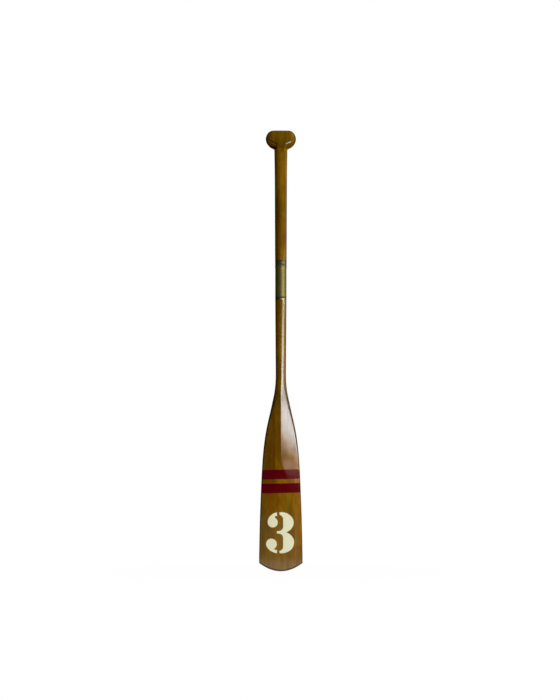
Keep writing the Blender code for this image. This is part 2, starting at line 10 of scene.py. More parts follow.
import bmesh
import bpy
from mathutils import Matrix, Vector


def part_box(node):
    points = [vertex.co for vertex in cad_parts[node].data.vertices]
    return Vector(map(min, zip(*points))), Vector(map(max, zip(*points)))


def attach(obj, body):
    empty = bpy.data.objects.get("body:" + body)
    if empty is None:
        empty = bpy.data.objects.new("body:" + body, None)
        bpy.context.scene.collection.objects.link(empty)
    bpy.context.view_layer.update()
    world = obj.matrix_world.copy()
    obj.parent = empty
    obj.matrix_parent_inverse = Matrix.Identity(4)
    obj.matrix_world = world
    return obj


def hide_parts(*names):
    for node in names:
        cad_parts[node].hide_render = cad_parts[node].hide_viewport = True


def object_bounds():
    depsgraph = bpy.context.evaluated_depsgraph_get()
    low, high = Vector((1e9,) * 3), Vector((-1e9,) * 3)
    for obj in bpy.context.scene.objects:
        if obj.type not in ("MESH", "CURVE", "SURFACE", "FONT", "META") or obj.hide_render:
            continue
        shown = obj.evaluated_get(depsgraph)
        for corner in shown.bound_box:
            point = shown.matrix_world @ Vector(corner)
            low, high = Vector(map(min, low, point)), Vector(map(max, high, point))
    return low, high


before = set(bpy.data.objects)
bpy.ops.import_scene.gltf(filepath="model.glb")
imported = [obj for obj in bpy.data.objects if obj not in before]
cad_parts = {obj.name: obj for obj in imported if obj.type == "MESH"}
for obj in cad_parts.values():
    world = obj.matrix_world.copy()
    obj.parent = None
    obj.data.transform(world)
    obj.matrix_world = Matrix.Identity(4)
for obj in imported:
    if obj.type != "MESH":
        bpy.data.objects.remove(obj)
CAD_LOW, CAD_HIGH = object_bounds()

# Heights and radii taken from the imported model
SLEEVE_LOW_Z, SLEEVE_TOP_Z = (corner.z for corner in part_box("ferrule_sleeve"))
WASHER_LOW_Z, WASHER_TOP_Z = (corner.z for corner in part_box("joint_washer"))
SPIGOT_END_Z, TANG_TOP_Z = (corner.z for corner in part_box("screw_fitting"))
SHAFT_END_Z, TOP_Z = (corner.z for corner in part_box("upper_shaft"))
TENON_TOP_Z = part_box("loom")[1].z
RING_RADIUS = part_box("ferrule_sleeve")[1].x
SLEEVE_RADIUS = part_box("joint_washer")[1].x
GRIP_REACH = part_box("grip_cheek_right")[1].x
BLADE_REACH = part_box("blade_wing_right_outer")[1].x
WING_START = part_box("blade_wing_right_inner")[0].x
OUTER_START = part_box("blade_wing_right_outer")[0].x

# The gap that every glued or pressed joint keeps, and how near a cut is on the cut
SEAM = 0.0003
ON_THE_CUT = 0.000001
NEAR_THE_CUT = 0.00002

# Handle and grip
COLLAR_HEIGHT = 0.0135
WAIST_RADIUS = 0.02115
NECK_RADIUS = 0.0223
NECK_FLARE_LENGTH = 0.140
GRIP_HALF_THICKNESS = 0.019
GRIP_TOP_HALF_FLAT = 0.025
GRIP_SHOULDER_HEIGHT = 0.029
GRIP_BELLY_DEPTH = 0.0395
GRIP_EDGE_RADIUS = 0.005
GRIP_FACE_HALF_WIDTH = 0.033
GRIP_FACE_LOW_CENTRE = 0.29
GRIP_FACE_LOW_END = 0.53
GRIP_CREASE = 1.5
GRIP_CROWN = 0.0014
GRIP_FILLET = 0.005
GRIP_CORE_HALF_WIDTH = 0.020
FACE_RUN_OUT_LENGTH = 0.030

# The step along the grip's crease: its size, and where across the grip it starts, grows and ends
STEP_DEPTH = 0.0010
STEP_HEIGHT = 0.0045
STEP_LEAST_SHARE = 0.4
STEP_START = 0.006
STEP_END = 0.034
STEP_BLEND = 0.012
STEP_GROWS_FROM = 0.012
STEP_GROWTH = 0.024

# Blade and loom
THROAT_Z = 0.668
THROAT_RADIUS = 0.01745
BLADE_CENTRE = 0.0065
BLADE_EDGE = 0.0045
BLADE_NECK_EDGE = 0.0065
BLADE_EDGE_RADIUS = 0.0032
BLADE_NECK_EDGE_RADIUS = 0.010
TIP_EDGE_RADIUS = 0.010
RIDGE_RADIUS = 0.0012
SHOULDER_END = 0.14
FLAT_START = 0.42
FLAT_FULL = 0.56
FLAT_SHARE = 0.32
FACET_BOW = 0.95
EDGE_BOW = 1.2
BOW_FULL = 0.60
TIP_CURVE_RADIUS = 0.097
TIP_BLEND = 0.080

# Share of the blade's width, and of its ridge's height, by the share of the way down from the throat
BLADE_OUTLINE = [(0.0, 0.0), (0.077, 0.061), (0.153, 0.238), (0.280, 0.570), (0.382, 0.740)]
BLADE_OUTLINE += [(0.484, 0.830), (0.637, 0.912), (0.790, 0.971), (0.932, 1.0), (1.0, 1.0)]
RIDGE_LINE = [(0.0, 1.0), (0.147, 0.85), (0.239, 0.73), (0.316, 0.66), (0.392, 0.58), (0.448, 0.49)]
RIDGE_LINE += [(0.509, 0.36), (0.580, 0.20), (0.650, 0.06), (0.710, 0.0), (0.750, 0.0), (1.0, 0.0)]

# Ferrule
SLEEVE_WALL = 0.0014
MOUTH_BAND_HEIGHT = 0.0105
MOUTH_BAND_SLOPE = 0.006
CRIMP_HEIGHT = 0.008
CRIMP_HALF_WIDTH = 0.0012
CRIMP_DEPTH = 0.0006
BEAD_HEIGHT = 0.00035
COLLAR_WALL = 0.0016
COLLAR_FLOOR = 0.004
TANG_RADIUS = 0.006
TANG_GROOVES = 3
TANG_GROOVE_WIDTH = 0.0016
TANG_GROOVE_DEPTH = 0.0008
PIN_RADIUS = 0.0015
PIN_PROUD = 0.00004
THREAD_RADIUS = 0.011
THREAD_PITCH = 0.005
THREAD_DEPTH = 0.00275
THREAD_FLANK = math.tan(math.radians(15))
THREAD_ROUNDING = 0.00025
SPIGOT_CHAMFER = 0.003
WASHER_HOLE_RADIUS = 0.0118

# Heights and edges worked out
COLLAR_LOW_Z = WASHER_TOP_Z + SEAM
COLLAR_TOP_Z = COLLAR_LOW_Z + COLLAR_HEIGHT
GRIP_WIDEST_Z = TOP_Z - GRIP_SHOULDER_HEIGHT
GRIP_LOWEST_Z = GRIP_WIDEST_Z - GRIP_BELLY_DEPTH
NECK_Z = GRIP_WIDEST_Z - GRIP_BELLY_DEPTH * math.sqrt(1 - (NECK_RADIUS / GRIP_REACH) ** 2)
WING_EDGE = WING_START - SEAM
OUTER_EDGE = OUTER_START - SEAM

# Fineness of the meshes
TURNED_STEPS = 128
THREAD_STEPS = 64
PIN_STEPS = 32
BLADE_COLUMNS = 76
LOOM_ROWS = 40
BLADE_ROWS = 215
TIP_ROWS = 14
HANDLE_COLUMNS = 352
HANDLE_ROWS = 60
BELLY_ROWS = 170
SHOULDER_ROWS = 26
CAP_ROWS = 6
HANDLE_CROWDING = 0.9
BELLY_ROWS_BELOW_NECK = 0.004
BELLY_ROWS_BELOW_GRIP = 0.0045
BLADE_CROWDING = 1.35
GRIP_SQUASH = 0.55

# Wood: its yearly rings, a crease line of painted shade, a painted shadow under the grip, bleached and
# paler heights, and a band of painted sheen
RING_SPACING = 0.0034
CREASE_LOW_Z = GRIP_LOWEST_Z + 0.28 * (TOP_Z - GRIP_LOWEST_Z)
CREASE_SLOPE = 0.47
PAINTED_SHADOW_X = -0.0245
PAINTED_SHADOW_Z = 1.4427
PAINTED_SHADOW_LEAN = 0.3
PAINTED_SHADOW_RADII = (0.0125, 0.0048)
PALER_SHAFT = (1.24, 1.40)
BLEACHED_BLADE = (0.22, 0.40)
PALER_TIP = (0.14, 0.24)
PAINTED_SHEEN_BAND = (0.24, 0.30, 0.37, 0.42)
THROAT_BAND = (0.56, 0.66)

# Paint on the blade: stripes as (lowest, highest) height, and a stencilled numeral on the front
STRIPES = [(0.2669, 0.2995), (0.3141, 0.3465)]
STRIPE_LEAN = 0.022
NUMERAL_CENTRE = (0.0022, 0.1331)

# The numeral, about its waist: lobes and balls as (centre, radii), and the edges of its cuts
LOBES = [((0.0, 0.0330), (0.0413, 0.0354)), ((0.0, -0.0345), (0.0429, 0.0369))]
ARMS = [((-0.0088, 0.0330), (0.0385, 0.0352)), ((-0.0088, -0.0361), (0.0439, 0.0354))]
BALLS = [((-0.0299, 0.0337), 0.0172), ((-0.0343, -0.0398), 0.0182)]
COUNTERS = [((-0.08, 0.0044), (0.0055, 0.0596)), ((-0.08, -0.0636), (0.0055, -0.0044))]
COUNTER_CORNER = 0.0150
RIGHT_CUT = -0.0070
LEFT_CUT = -0.0154
SPIKE_TIP = -0.0156
SPIKE_HALF_HEIGHT = 0.0085
SPIKE_TAPER = 0.36
ARM_INNER = [0.0552, -0.0599]
NOTCHES = [-0.0221, -0.0238]

# Camera
VIEW_HEIGHT = 2.3835
VIEW_CENTRE = (-0.0029, 0.0, 0.7535)
CAMERA_DISTANCE = 12.0
LONG_SIDE = 36.0

# Lamps that the varnish mirrors: (name, turn, width, lowest, highest, strength, colour)
SOFTBOX_DISTANCE = 2.4
SOFTBOX = [
    ("key", 37, 1.86, 0.385, 0.68, 13.0, (0.93, 1.0, 1.06)),
    ("key_low", 26, 1.7, 0.33, 0.385, 8.5, (1.0, 0.87, 0.70)),
    ("key_foot", 26, 1.7, 0.285, 0.33, 3.6, (1.0, 0.74, 0.58)),
    ("key_upper", 45, 1.86, 0.68, 0.86, 9.5, (1.0, 0.94, 0.83)),
    ("key_top", 50, 1.86, 0.86, 0.94, 3.2, (1.0, 0.88, 0.70)),
    ("key_ring", 65, 1.1, 0.95, 1.03, 25.0, (1.0, 0.98, 0.90)),
]

# Lamps that only light: (name, turn, size, strength)
PLAIN_LAMP_DISTANCE = 2.6
PLAIN_LAMPS = [
    ("side", 72, (0.9, 1.8), 4.0),
    ("back_right", 155, (0.8, 1.6), 3.0),
    ("back", 186, (0.8, 1.6), 5.0),
]
AMBIENT = 0.10

# Dark screens and the turns between which they are open, and the floor
SCREEN_RADIUS = 3.2
SCREEN_HEIGHT = 4.0
SCREEN_STEPS = 90
OPEN_FROM = 54
OPEN_HIGH_FROM = 102
OPEN_TO = 112
OPEN_LOW_TOP = 1.08
FLOOR_HOLE = 0.6
ROOF_HOLE = 1.6
FLOOR_HALF_WIDTH = 0.9
FLOOR_SHADE = 0.02


def smooth_step(value):
    value = min(max(value, 0.0), 1.0)
    return value * value * (3 - 2 * value)


def rounded(distance, radius):
    """Height share of a rounded edge at this distance inside it."""
    inside = min(max(distance / radius, 0.0), 1.0)
    return math.sqrt(max(0.0, 1 - (1 - inside) ** 2))


def along_curve(points, place):
    """A smooth curve through the points, with slopes taken from their neighbours."""
    last = len(points) - 1
    place = min(max(place, points[0][0]), points[-1][0])
    slopes = []
    for i in range(last + 1):
        before, after = points[max(i - 1, 0)], points[min(i + 1, last)]
        slopes.append((after[1] - before[1]) / (after[0] - before[0]))
    slopes[0] = 0.0
    slopes[last] = 0.0
    index = next(i for i in range(last) if place <= points[i + 1][0])
    (x0, y0), (x1, y1) = points[index], points[index + 1]
    span = x1 - x0
    u = (place - x0) / span
    start = (2 * u**3 - 3 * u**2 + 1) * y0 + (u**3 - 2 * u**2 + u) * span * slopes[index]
    end = (-2 * u**3 + 3 * u**2) * y1 + (u**3 - u**2) * span * slopes[index + 1]
    return start + end


# Shader helpers


class Wire:
    """One output of a node. Arithmetic on it adds Math nodes to its finish."""

    def __init__(self, finish, socket):
        self.finish = finish
        self.socket = socket

    def math(self, operation, *others):
        return self.finish.node("Math", {"operation": operation}, [self, *others])

    __add__ = __radd__ = partialmethod(math, "ADD")
    __sub__ = partialmethod(math, "SUBTRACT")
    __mul__ = __rmul__ = partialmethod(math, "MULTIPLY")
    __truediv__ = partialmethod(math, "DIVIDE")
    __pow__ = partialmethod(math, "POWER")
    __neg__ = partialmethod(math, "MULTIPLY", -1.0)
    __abs__ = partialmethod(math, "ABSOLUTE")
    least = partialmethod(math, "MINIMUM")
    most = partialmethod(math, "MAXIMUM")
    root = partialmethod(math, "SQRT")

    def __rsub__(self, other):
        return self.finish.node("Math", {"operation": "SUBTRACT"}, [other, self])

    def ramp(self, low, high):
        """0 at low and 1 at high, eased at both ends."""
        settings = {"interpolation_type": "SMOOTHSTEP"}
        values = {"Value": self, "From Min": low, "From Max": high}
        return self.finish.node("MapRange", settings, values)


class Finish:
    """A material whose Principled shader is fed by nodes on Object coordinates."""

    def __init__(self, name, **constants):
        self.material = bpy.data.materials.new(name)
        self.material.use_nodes = True
        self.tree = self.material.node_tree
        self.shader = self.tree.nodes["Principled BSDF"]
        for socket, value in constants.items():
            self.shader.inputs[socket.replace("_", " ")].default_value = value
        self.place = self.node("TexCoord", output="Object")
        self.x = self.node("SeparateXYZ", {}, [self.place], "X")
        self.y = self.node("SeparateXYZ", {}, [self.place], "Y")
        self.z = self.node("SeparateXYZ", {}, [self.place], "Z")

    def node(self, kind, settings=None, values=None, output=0):
        """Any node: its settings are set first, then the values or links of its sockets."""
        made = self.tree.nodes.new("ShaderNode" + kind)
        for key, value in (settings or {}).items():
            if key == "stops":
                ramp = made.color_ramp
                while len(ramp.elements) < len(value):
                    ramp.elements.new(0.5)
                for element, (place, colour) in zip(ramp.elements, value):
                    element.position = place
                    element.color = (*colour, 1.0)
            else:
                setattr(made, key, value)
        pairs = values.items() if isinstance(values, dict) else enumerate(values or [])
        for key, value in pairs:
            if isinstance(value, Wire):
                self.tree.links.new(value.socket, made.inputs[key])
            else:
                made.inputs[key].default_value = value
        return Wire(self, made.outputs[output])

    def feed(self, socket, wire):
        self.tree.links.new(wire.socket, self.shader.inputs[socket])

    def stretched(self, scale, offset=(0.0, 0.0, 0.0)):
        """Object coordinates stretched by a scale for each axis, then moved."""
        values = {"Vector": self.place, "Location": offset, "Scale": scale}
        return self.node("Mapping", {}, values)

    def noise(self, scale, offset=(0.0, 0.0, 0.0), detail=2.0, roughness=0.5, distortion=0.0):
        """Noise from 0 to 1. Scale is in repeats to the metre along each axis."""
        values = {"Vector": self.stretched(scale, offset), "Scale": 1.0, "Detail": detail}
        values |= {"Roughness": roughness, "Distortion": distortion}
        return self.node("TexNoise", {}, values)

    def mix(self, factor, first, second, blend="MIX"):
        """Colours mixed: first where the factor is 0, second where it is 1."""
        values = {0: factor}
        for key, colour in ((6, first), (7, second)):
            values[key] = colour if isinstance(colour, Wire) else (*colour, 1.0)
        settings = {"data_type": "RGBA", "blend_type": blend}
        return self.node("Mix", settings, values, output=2)

    def tinted(self, factor, colour, tint):
        """The colour multiplied by a tint where the factor is 1."""
        return self.mix(factor, colour, self.mix(1.0, colour, tint, "MULTIPLY"))

    def bump(self, height, distance, strength=1.0):
        values = {"Height": height, "Distance": distance, "Strength": strength}
        self.feed("Normal", self.node("Bump", {}, values))


# Mesh helpers


def outward(bm):
    """Faces turned to point out of a closed mesh."""
    bmesh.ops.recalc_face_normals(bm, faces=bm.faces)
    if bm.calc_volume(signed=True) < 0:
        bmesh.ops.reverse_faces(bm, faces=bm.faces)


def placed(name, data):
    made = bpy.data.objects.new(name, data)
    bpy.context.scene.collection.objects.link(made)
    return made


def as_object(bm, name, material):
    mesh = bpy.data.meshes.new(name)
    bm.to_mesh(mesh)
    bm.free()
    mesh.materials.append(material)
    return placed(name, mesh)


def piece(bm, name, body, node, material, sharp=38):
    """A finished piece that rides on a body and stands for a node, which it hides."""
    outward(bm)
    made = as_object(bm, name, material)
    made.data.shade_smooth()
    made.data.set_sharp_from_angle(angle=math.radians(sharp))
    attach(made, body)
    if node:
        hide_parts(node)


def turned(profile, steps=TURNED_STEPS):
    """A turned shape. A profile that doesn't end on the axis is closed into a ring."""
    bm = bmesh.new()
    verts = [bm.verts.new((radius, 0.0, height)) for radius, height in profile]
    edges = [bm.edges.new(pair) for pair in zip(verts, verts[1:])]
    if profile[0][0] > 0:
        edges.append(bm.edges.new((verts[-1], verts[0])))
    whole_turn = {"cent": (0, 0, 0), "axis": (0, 0, 1), "angle": 2 * math.pi}
    bmesh.ops.spin(bm, geom=verts + edges, steps=steps, use_merge=True, **whole_turn)
    bmesh.ops.remove_doubles(bm, verts=bm.verts, dist=0.000001)
    outward(bm)
    return bm


def cylinder(radius, height, steps):
    bm = bmesh.new()
    bmesh.ops.create_cone(
        bm, cap_ends=True, segments=steps, radius1=radius, radius2=radius, depth=height
    )
    return bm


def ease_corners(bm, width, height, angle=30):
    """Rounds the turned corners within a millimetre of a height."""
    corners = []
    for edge in bm.edges:
        inside = all(abs(vert.co.z - height) < 0.001 for vert in edge.verts)
        if inside and len(edge.link_faces) == 2:
            if edge.calc_face_angle() > math.radians(angle):
                corners.append(edge)
    bmesh.ops.bevel(
        bm,
        geom=corners,
        offset=width,
        segments=3,
        profile=0.5,
        affect="EDGES",
        clamp_overlap=True,
        material=-1,
    )


def whole(bm):
    return bm.verts[:] + bm.edges[:] + bm.faces[:]


def keep_side(bm, point, normal):
    """Cuts a closed mesh with a plane, keeps what lies behind it and closes the cut."""
    bmesh.ops.bisect_plane(
        bm, geom=whole(bm), dist=ON_THE_CUT, plane_co=point, plane_no=normal, clear_outer=True
    )
    rims = [edge for edge in bm.edges if edge.is_boundary]
    bmesh.ops.holes_fill(bm, edges=rims, sides=0)


# Handle shape


def grip_bottom(x):
    return GRIP_WIDEST_Z - GRIP_BELLY_DEPTH * math.sqrt(max(0.0, 1 - (x / GRIP_REACH) ** 2))


def grip_top(x):
    over = (abs(x) - GRIP_TOP_HALF_FLAT) / (GRIP_REACH - GRIP_TOP_HALF_FLAT)
    over = min(max(over, 0.0), 1.0)
    return GRIP_WIDEST_Z + GRIP_SHOULDER_HEIGHT * math.sqrt(1 - over**2)


def crease_step(x, below):
    """The step down from the grip's face along its crease, which dies out at the middle and ends."""
    share = smooth_step((abs(x) - STEP_START) / STEP_BLEND)
    share *= 1 - smooth_step((abs(x) - STEP_END) / STEP_BLEND)
    grown = min(max((abs(x) - STEP_GROWS_FROM) / STEP_GROWTH, 0.0), 1.0)
    height = STEP_HEIGHT * (STEP_LEAST_SHARE + (1 - STEP_LEAST_SHARE) * grown)
    return STEP_DEPTH * share * smooth_step(below / height)


def grip_front(x, z):
    """How far the grip's front stands from its middle plane, and 0 outside its outline."""
    bottom, top = grip_bottom(x), grip_top(x)
    if not bottom < z <= top or abs(x) >= GRIP_REACH:
        return 0.0
    over = (abs(x) - GRIP_FACE_HALF_WIDTH) / (GRIP_REACH - GRIP_FACE_HALF_WIDTH)
    depth = GRIP_HALF_THICKNESS - GRIP_CROWN * (x / GRIP_FACE_HALF_WIDTH) ** 2
    depth *= math.sqrt(1 - min(max(over, 0.0), 1.0) ** 2)
    share = GRIP_FACE_LOW_CENTRE
    share += (GRIP_FACE_LOW_END - GRIP_FACE_LOW_CENTRE) * abs(x) / GRIP_REACH
    low = bottom + share * (top - bottom)
    depth -= crease_step(x, low - z)
    if z < low:
        below = (low - z) / (low - bottom)
        return depth * math.sqrt(1 - below**GRIP_CREASE)
    radius = min(GRIP_EDGE_RADIUS, depth / 2, (top - low) / 2)
    inside = min((top - z) / radius, 1.0)
    return depth - radius * (1 - math.sqrt(1 - (1 - inside) ** 2))


def shaft_radius(z):
    """The handle's round shaft: a straight taper, with a flare up to the neck."""
    up = (z - COLLAR_TOP_Z) / (NECK_Z - COLLAR_TOP_Z)
    flare = min(max((z - NECK_Z) / NECK_FLARE_LENGTH + 1, 0.0), 1.0)
    taper = RING_RADIUS + (WAIST_RADIUS - RING_RADIUS) * up
    return min(taper + (NECK_RADIUS - WAIST_RADIUS) * flare**2, NECK_RADIUS)


def face_limit(z):
    """The flat faces above the neck, with a curved run-out down into the round shaft."""
    start = NECK_Z + FACE_RUN_OUT_LENGTH / 2
    sink = NECK_RADIUS - GRIP_HALF_THICKNESS
    radius = (FACE_RUN_OUT_LENGTH**2 + sink**2) / (2 * sink)
    below = start - z
    if below <= 0:
        return GRIP_HALF_THICKNESS
    if below >= radius:
        return 2 * NECK_RADIUS
    return GRIP_HALF_THICKNESS + radius - math.sqrt(radius**2 - below**2)


def grip_radius(turn, z):
    """Distance from the axis to the grip's surface at a turn from the side, found by halving."""
    across, out = math.cos(turn), math.sin(turn)
    near, far = 0.0, GRIP_REACH * 1.2
    for _ in range(26):
        middle = (near + far) / 2
        if grip_front(middle * across, z) > middle * out:
            near = middle
        else:
            far = middle
    return near


def handle_radius(turn, z):
    """Distance from the axis to the handle's surface: the shaft, filleted into the grip."""
    radius = shaft_radius(z) if z < GRIP_WIDEST_Z else 0.0
    if z > grip_bottom(0.0):
        grip = grip_radius(turn, z)
        overlap = max(GRIP_FILLET - abs(grip - radius), 0.0) / GRIP_FILLET
        radius = max(grip, radius) + overlap**2 * GRIP_FILLET / 4
    out = math.sin(turn)
    if radius * out > face_limit(z):
        radius = face_limit(z) / out
    return radius


def handle_rings():
    """Rings of the handle from its lower end up: (height, radius, share of the radius).

    The radius is None where the shape sets it.
    """
    shoulder = COLLAR_TOP_Z + SEAM
    tenon = RING_RADIUS - COLLAR_WALL - SEAM
    bore = TANG_RADIUS + SEAM
    bore_top = TANG_TOP_Z + SEAM
    eased = shoulder + SEAM
    rings = [(bore_top, 0.0, 1), (bore_top, bore, 1), (SHAFT_END_Z, bore, 1)]
    rings += [(SHAFT_END_Z, tenon, 1), (shoulder, tenon, 1)]
    rings += [(shoulder, shaft_radius(shoulder) - SEAM, 1)]
    rings += [(eased, None, 1), (shoulder + 3 * SEAM, None, 1)]
    belly_z = NECK_Z - BELLY_ROWS_BELOW_NECK
    for i in range(1, HANDLE_ROWS):
        share = (i / HANDLE_ROWS) ** HANDLE_CROWDING
        rings.append((eased + (belly_z - eased) * share, None, 1))
    depth = GRIP_BELLY_DEPTH + BELLY_ROWS_BELOW_GRIP
    start = math.acos(min(1.0, (GRIP_WIDEST_Z - belly_z) / depth))
    for i in range(BELLY_ROWS):
        turn = start + (math.pi / 2 - start) * i / BELLY_ROWS
        rings.append((GRIP_WIDEST_Z - depth * math.cos(turn), None, 1))
    for i in range(SHOULDER_ROWS + 1):
        turn = math.pi / 2 * i / SHOULDER_ROWS
        rings.append((GRIP_WIDEST_Z + GRIP_SHOULDER_HEIGHT * math.sin(turn), None, 1))
    for i in range(1, CAP_ROWS + 1):
        rings.append((TOP_Z, None, 1 - i / CAP_ROWS))
    return rings


def handle_blank():
    """The whole wooden handle before its cheeks are parted: a grid wrapped round the axis."""
    rings = handle_rings()
    quarter = HANDLE_COLUMNS // 4
    evenly = [math.pi / 2 * i / quarter for i in range(quarter + 1)]
    turns = [math.atan2(GRIP_SQUASH * math.sin(u), math.cos(u)) for u in evenly]
    bm = bmesh.new()
    bmesh.ops.create_grid(bm, x_segments=HANDLE_COLUMNS, y_segments=len(rings) - 1, size=1.0)
    found = {}
    for vert in bm.verts:
        column = round((vert.co.x + 1) / 2 * HANDLE_COLUMNS) % HANDLE_COLUMNS
        row = round((vert.co.y + 1) / 2 * (len(rings) - 1))
        part, step = divmod(column, quarter)
        index = step if part % 2 == 0 else quarter - step
        turn = turns[index]
        height, radius, share = rings[row]
        if radius is None:
            key = (index, height)
            if key not in found:
                found[key] = handle_radius(turn, height)
            radius = found[key] * share
        side = 1 if part in (0, 3) else -1
        front = -1 if part in (0, 1) else 1
        vert.co = (side * radius * math.cos(turn), front * radius * math.sin(turn), height)
    bmesh.ops.remove_doubles(bm, verts=bm.verts, dist=0.000002)
    outward(bm)
    return bm


def take_cheek_away(bm, side):
    """Cuts the room for one cheek out of the handle and closes both faces of the cut."""
    edge = side * GRIP_CORE_HALF_WIDTH
    for point, normal in (((edge, 0, 0), (1, 0, 0)), ((0, 0, NECK_Z), (0, 0, 1))):
        bmesh.ops.bisect_plane(bm, geom=whole(bm), dist=ON_THE_CUT, plane_co=point, plane_no=normal)
    gone = []
    for face in bm.faces:
        middle = face.calc_center_median()
        if middle.x * side > GRIP_CORE_HALF_WIDTH and middle.z > NECK_Z:
            gone.append(face)
    bmesh.ops.delete(bm, geom=gone, context="FACES")
    loose = [vert for vert in bm.verts if not vert.link_faces]
    bmesh.ops.delete(bm, geom=loose, context="VERTS")
    rims = [e for e in bm.edges if e.is_boundary]
    corners = []
    for vert in {v for e in rims for v in e.verts}:
        if abs(vert.co.x - edge) < NEAR_THE_CUT and abs(vert.co.z - NECK_Z) < NEAR_THE_CUT:
            corners.append(vert)
    fold = bm.edges.new(corners)
    upright = [e for e in rims if all(abs(v.co.x - edge) < NEAR_THE_CUT for v in e.verts)]
    level = [e for e in rims if e not in upright]
    bmesh.ops.contextual_create(bm, geom=upright + [fold])
    bmesh.ops.contextual_create(bm, geom=level + [fold])


# Blade shape


def half_width(down):
    """Half the blade's width, by the share of the way down from the throat to the tip."""
    return THROAT_RADIUS + (BLADE_REACH - THROAT_RADIUS) * along_curve(BLADE_OUTLINE, down)


def half_thickness(across, down, from_tip):
    """Half the blade's thickness: round at the throat, then ridged, then flat in the middle.

    Across is 0 on the ridge and 1 on the edge, down is 0 at the throat and 1 at the tip.
    """
    width = half_width(down)
    centre = BLADE_CENTRE + (THROAT_RADIUS - BLADE_CENTRE) * along_curve(RIDGE_LINE, down)
    near = (1 - down) ** 2
    edge = BLADE_EDGE + (BLADE_NECK_EDGE - BLADE_EDGE) * near
    radius = BLADE_EDGE_RADIUS + (BLADE_NECK_EDGE_RADIUS - BLADE_EDGE_RADIUS) * near
    flat = FLAT_SHARE * smooth_step((down - FLAT_START) / (FLAT_FULL - FLAT_START))
    bow = smooth_step((down - FLAT_START) / (BOW_FULL - FLAT_START))
    bow = FACET_BOW + (EDGE_BOW - FACET_BOW) * bow
    soft = RIDGE_RADIUS / width
    eased = math.sqrt(across**2 + soft**2) - soft
    beyond = max(0.0, (eased - flat) / (1 - flat))
    plate = edge + (centre - edge) * (1 - beyond**bow)
    plate *= rounded(width * (1 - across), min(radius, width / 2))
    plate *= rounded(from_tip, TIP_EDGE_RADIUS)
    loom = centre * math.sqrt(max(0.0, 1 - across**2))
    return loom + (plate - loom) * smooth_step(down / SHOULDER_END)


def blade_rows():
    """Rows of the blade half from the top: (height, radius or None where the blade begins)."""
    tenon = SLEEVE_RADIUS - SLEEVE_WALL - SEAM
    shoulder = SLEEVE_LOW_Z - SEAM
    rows = [(TENON_TOP_Z, 0.0), (TENON_TOP_Z, tenon), (shoulder, tenon)]
    rows += [(shoulder, SLEEVE_RADIUS - SEAM), (shoulder - SEAM, SLEEVE_RADIUS)]
    rows.append((shoulder - 3 * SEAM, SLEEVE_RADIUS))
    for i in range(1, LOOM_ROWS):
        share = i / LOOM_ROWS
        radius = SLEEVE_RADIUS + (THROAT_RADIUS - SLEEVE_RADIUS) * share
        rows.append((shoulder + (THROAT_Z - shoulder) * share, radius))
    tip = 1.5 * TIP_EDGE_RADIUS
    for i in range(BLADE_ROWS):
        rows.append((THROAT_Z + (tip - THROAT_Z) * i / BLADE_ROWS, None))
    for i in range(TIP_ROWS + 1):
        rows.append((tip * (1 - math.sin(math.pi / 2 * i / TIP_ROWS)), None))
    return rows


def ripple(x, z):
    """The slight unevenness that hand planing and brushed varnish leave on the faces."""
    long_wave = math.sin(z * 61 + 3 * math.sin(x * 40)) * math.sin(x * 83 + z * 9 + 1)
    short_wave = math.sin(z * 173 + x * 31 + 2) * math.sin(x * 127 - z * 23)
    return 0.00004 * long_wave + 0.000012 * short_wave


def blade_blank():
    """The whole blade half before its staves are parted: a grid over its front, mirrored.

    The tip's two corner faces are split from their raised point, so that none lies in the mirror.
    """
    rows = blade_rows()
    bm = bmesh.new()
    bmesh.ops.create_grid(bm, x_segments=BLADE_COLUMNS, y_segments=len(rows) - 1, size=1.0)
    for vert in bm.verts:
        u = vert.co.x
        across = math.copysign(math.sin(math.pi / 2 * abs(u) ** BLADE_CROWDING), u)
        height, radius = rows[round((1 - vert.co.y) / 2 * (len(rows) - 1))]
        if radius is not None:
            turn = math.pi / 2 * u
            vert.co = (radius * math.sin(turn), -radius * math.cos(turn), height)
            continue
        down = 1 - height / THROAT_Z
        if down < SHOULDER_END:
            blend = down / SHOULDER_END
            across = math.sin(math.pi / 2 * u) * (1 - blend) + across * blend
        x = half_width(down) * across
        tip = x**2 / (2 * TIP_CURVE_RADIUS)
        z = height + tip * (1 - smooth_step(height / TIP_BLEND))
        from_tip = (z - tip) / math.hypot(1, x / TIP_CURVE_RADIUS)
        y = half_thickness(abs(across), down, from_tip)
        if 0 < y:
            y += ripple(x, z) * min(1.0, y / BLADE_EDGE) * smooth_step(down / SHOULDER_END)
        vert.co = (x, -y, z)
    for face in bm.faces[:]:
        raised = [i for i, vert in enumerate(face.verts) if abs(vert.co.y) > 0.0000001]
        if len(raised) == 1 and face.verts[0].co.z < TIP_BLEND:
            corner = face.verts[(raised[0] + 2) % 4]
            bmesh.utils.face_split(face, face.verts[raised[0]], corner)
    bmesh.ops.mirror(bm, geom=whole(bm), axis="Y", merge_dist=0.000002)
    bmesh.ops.remove_doubles(bm, verts=bm.verts, dist=0.000002)
    outward(bm)
    return bm


# Finishes


def ellipse(x, z, centre, radii):
    """Signed distance, about right near the outline, from an ellipse."""
    across = (x - centre[0]) / radii[0]
    up = (z - centre[1]) / radii[1]
    return ((across * across + up * up).root() - 1.0) * min(radii)


def rounded_box(x, z, low, high, radius):
    """Signed distance from a box with rounded corners."""
    across = abs(x - (low[0] + high[0]) / 2) - ((high[0] - low[0]) / 2 - radius)
    up = abs(z - (low[1] + high[1]) / 2) - ((high[1] - low[1]) / 2 - radius)
    over, above = across.most(0.0), up.most(0.0)
    return (over * over + above * above).root() + across.most(up).least(0.0) - radius


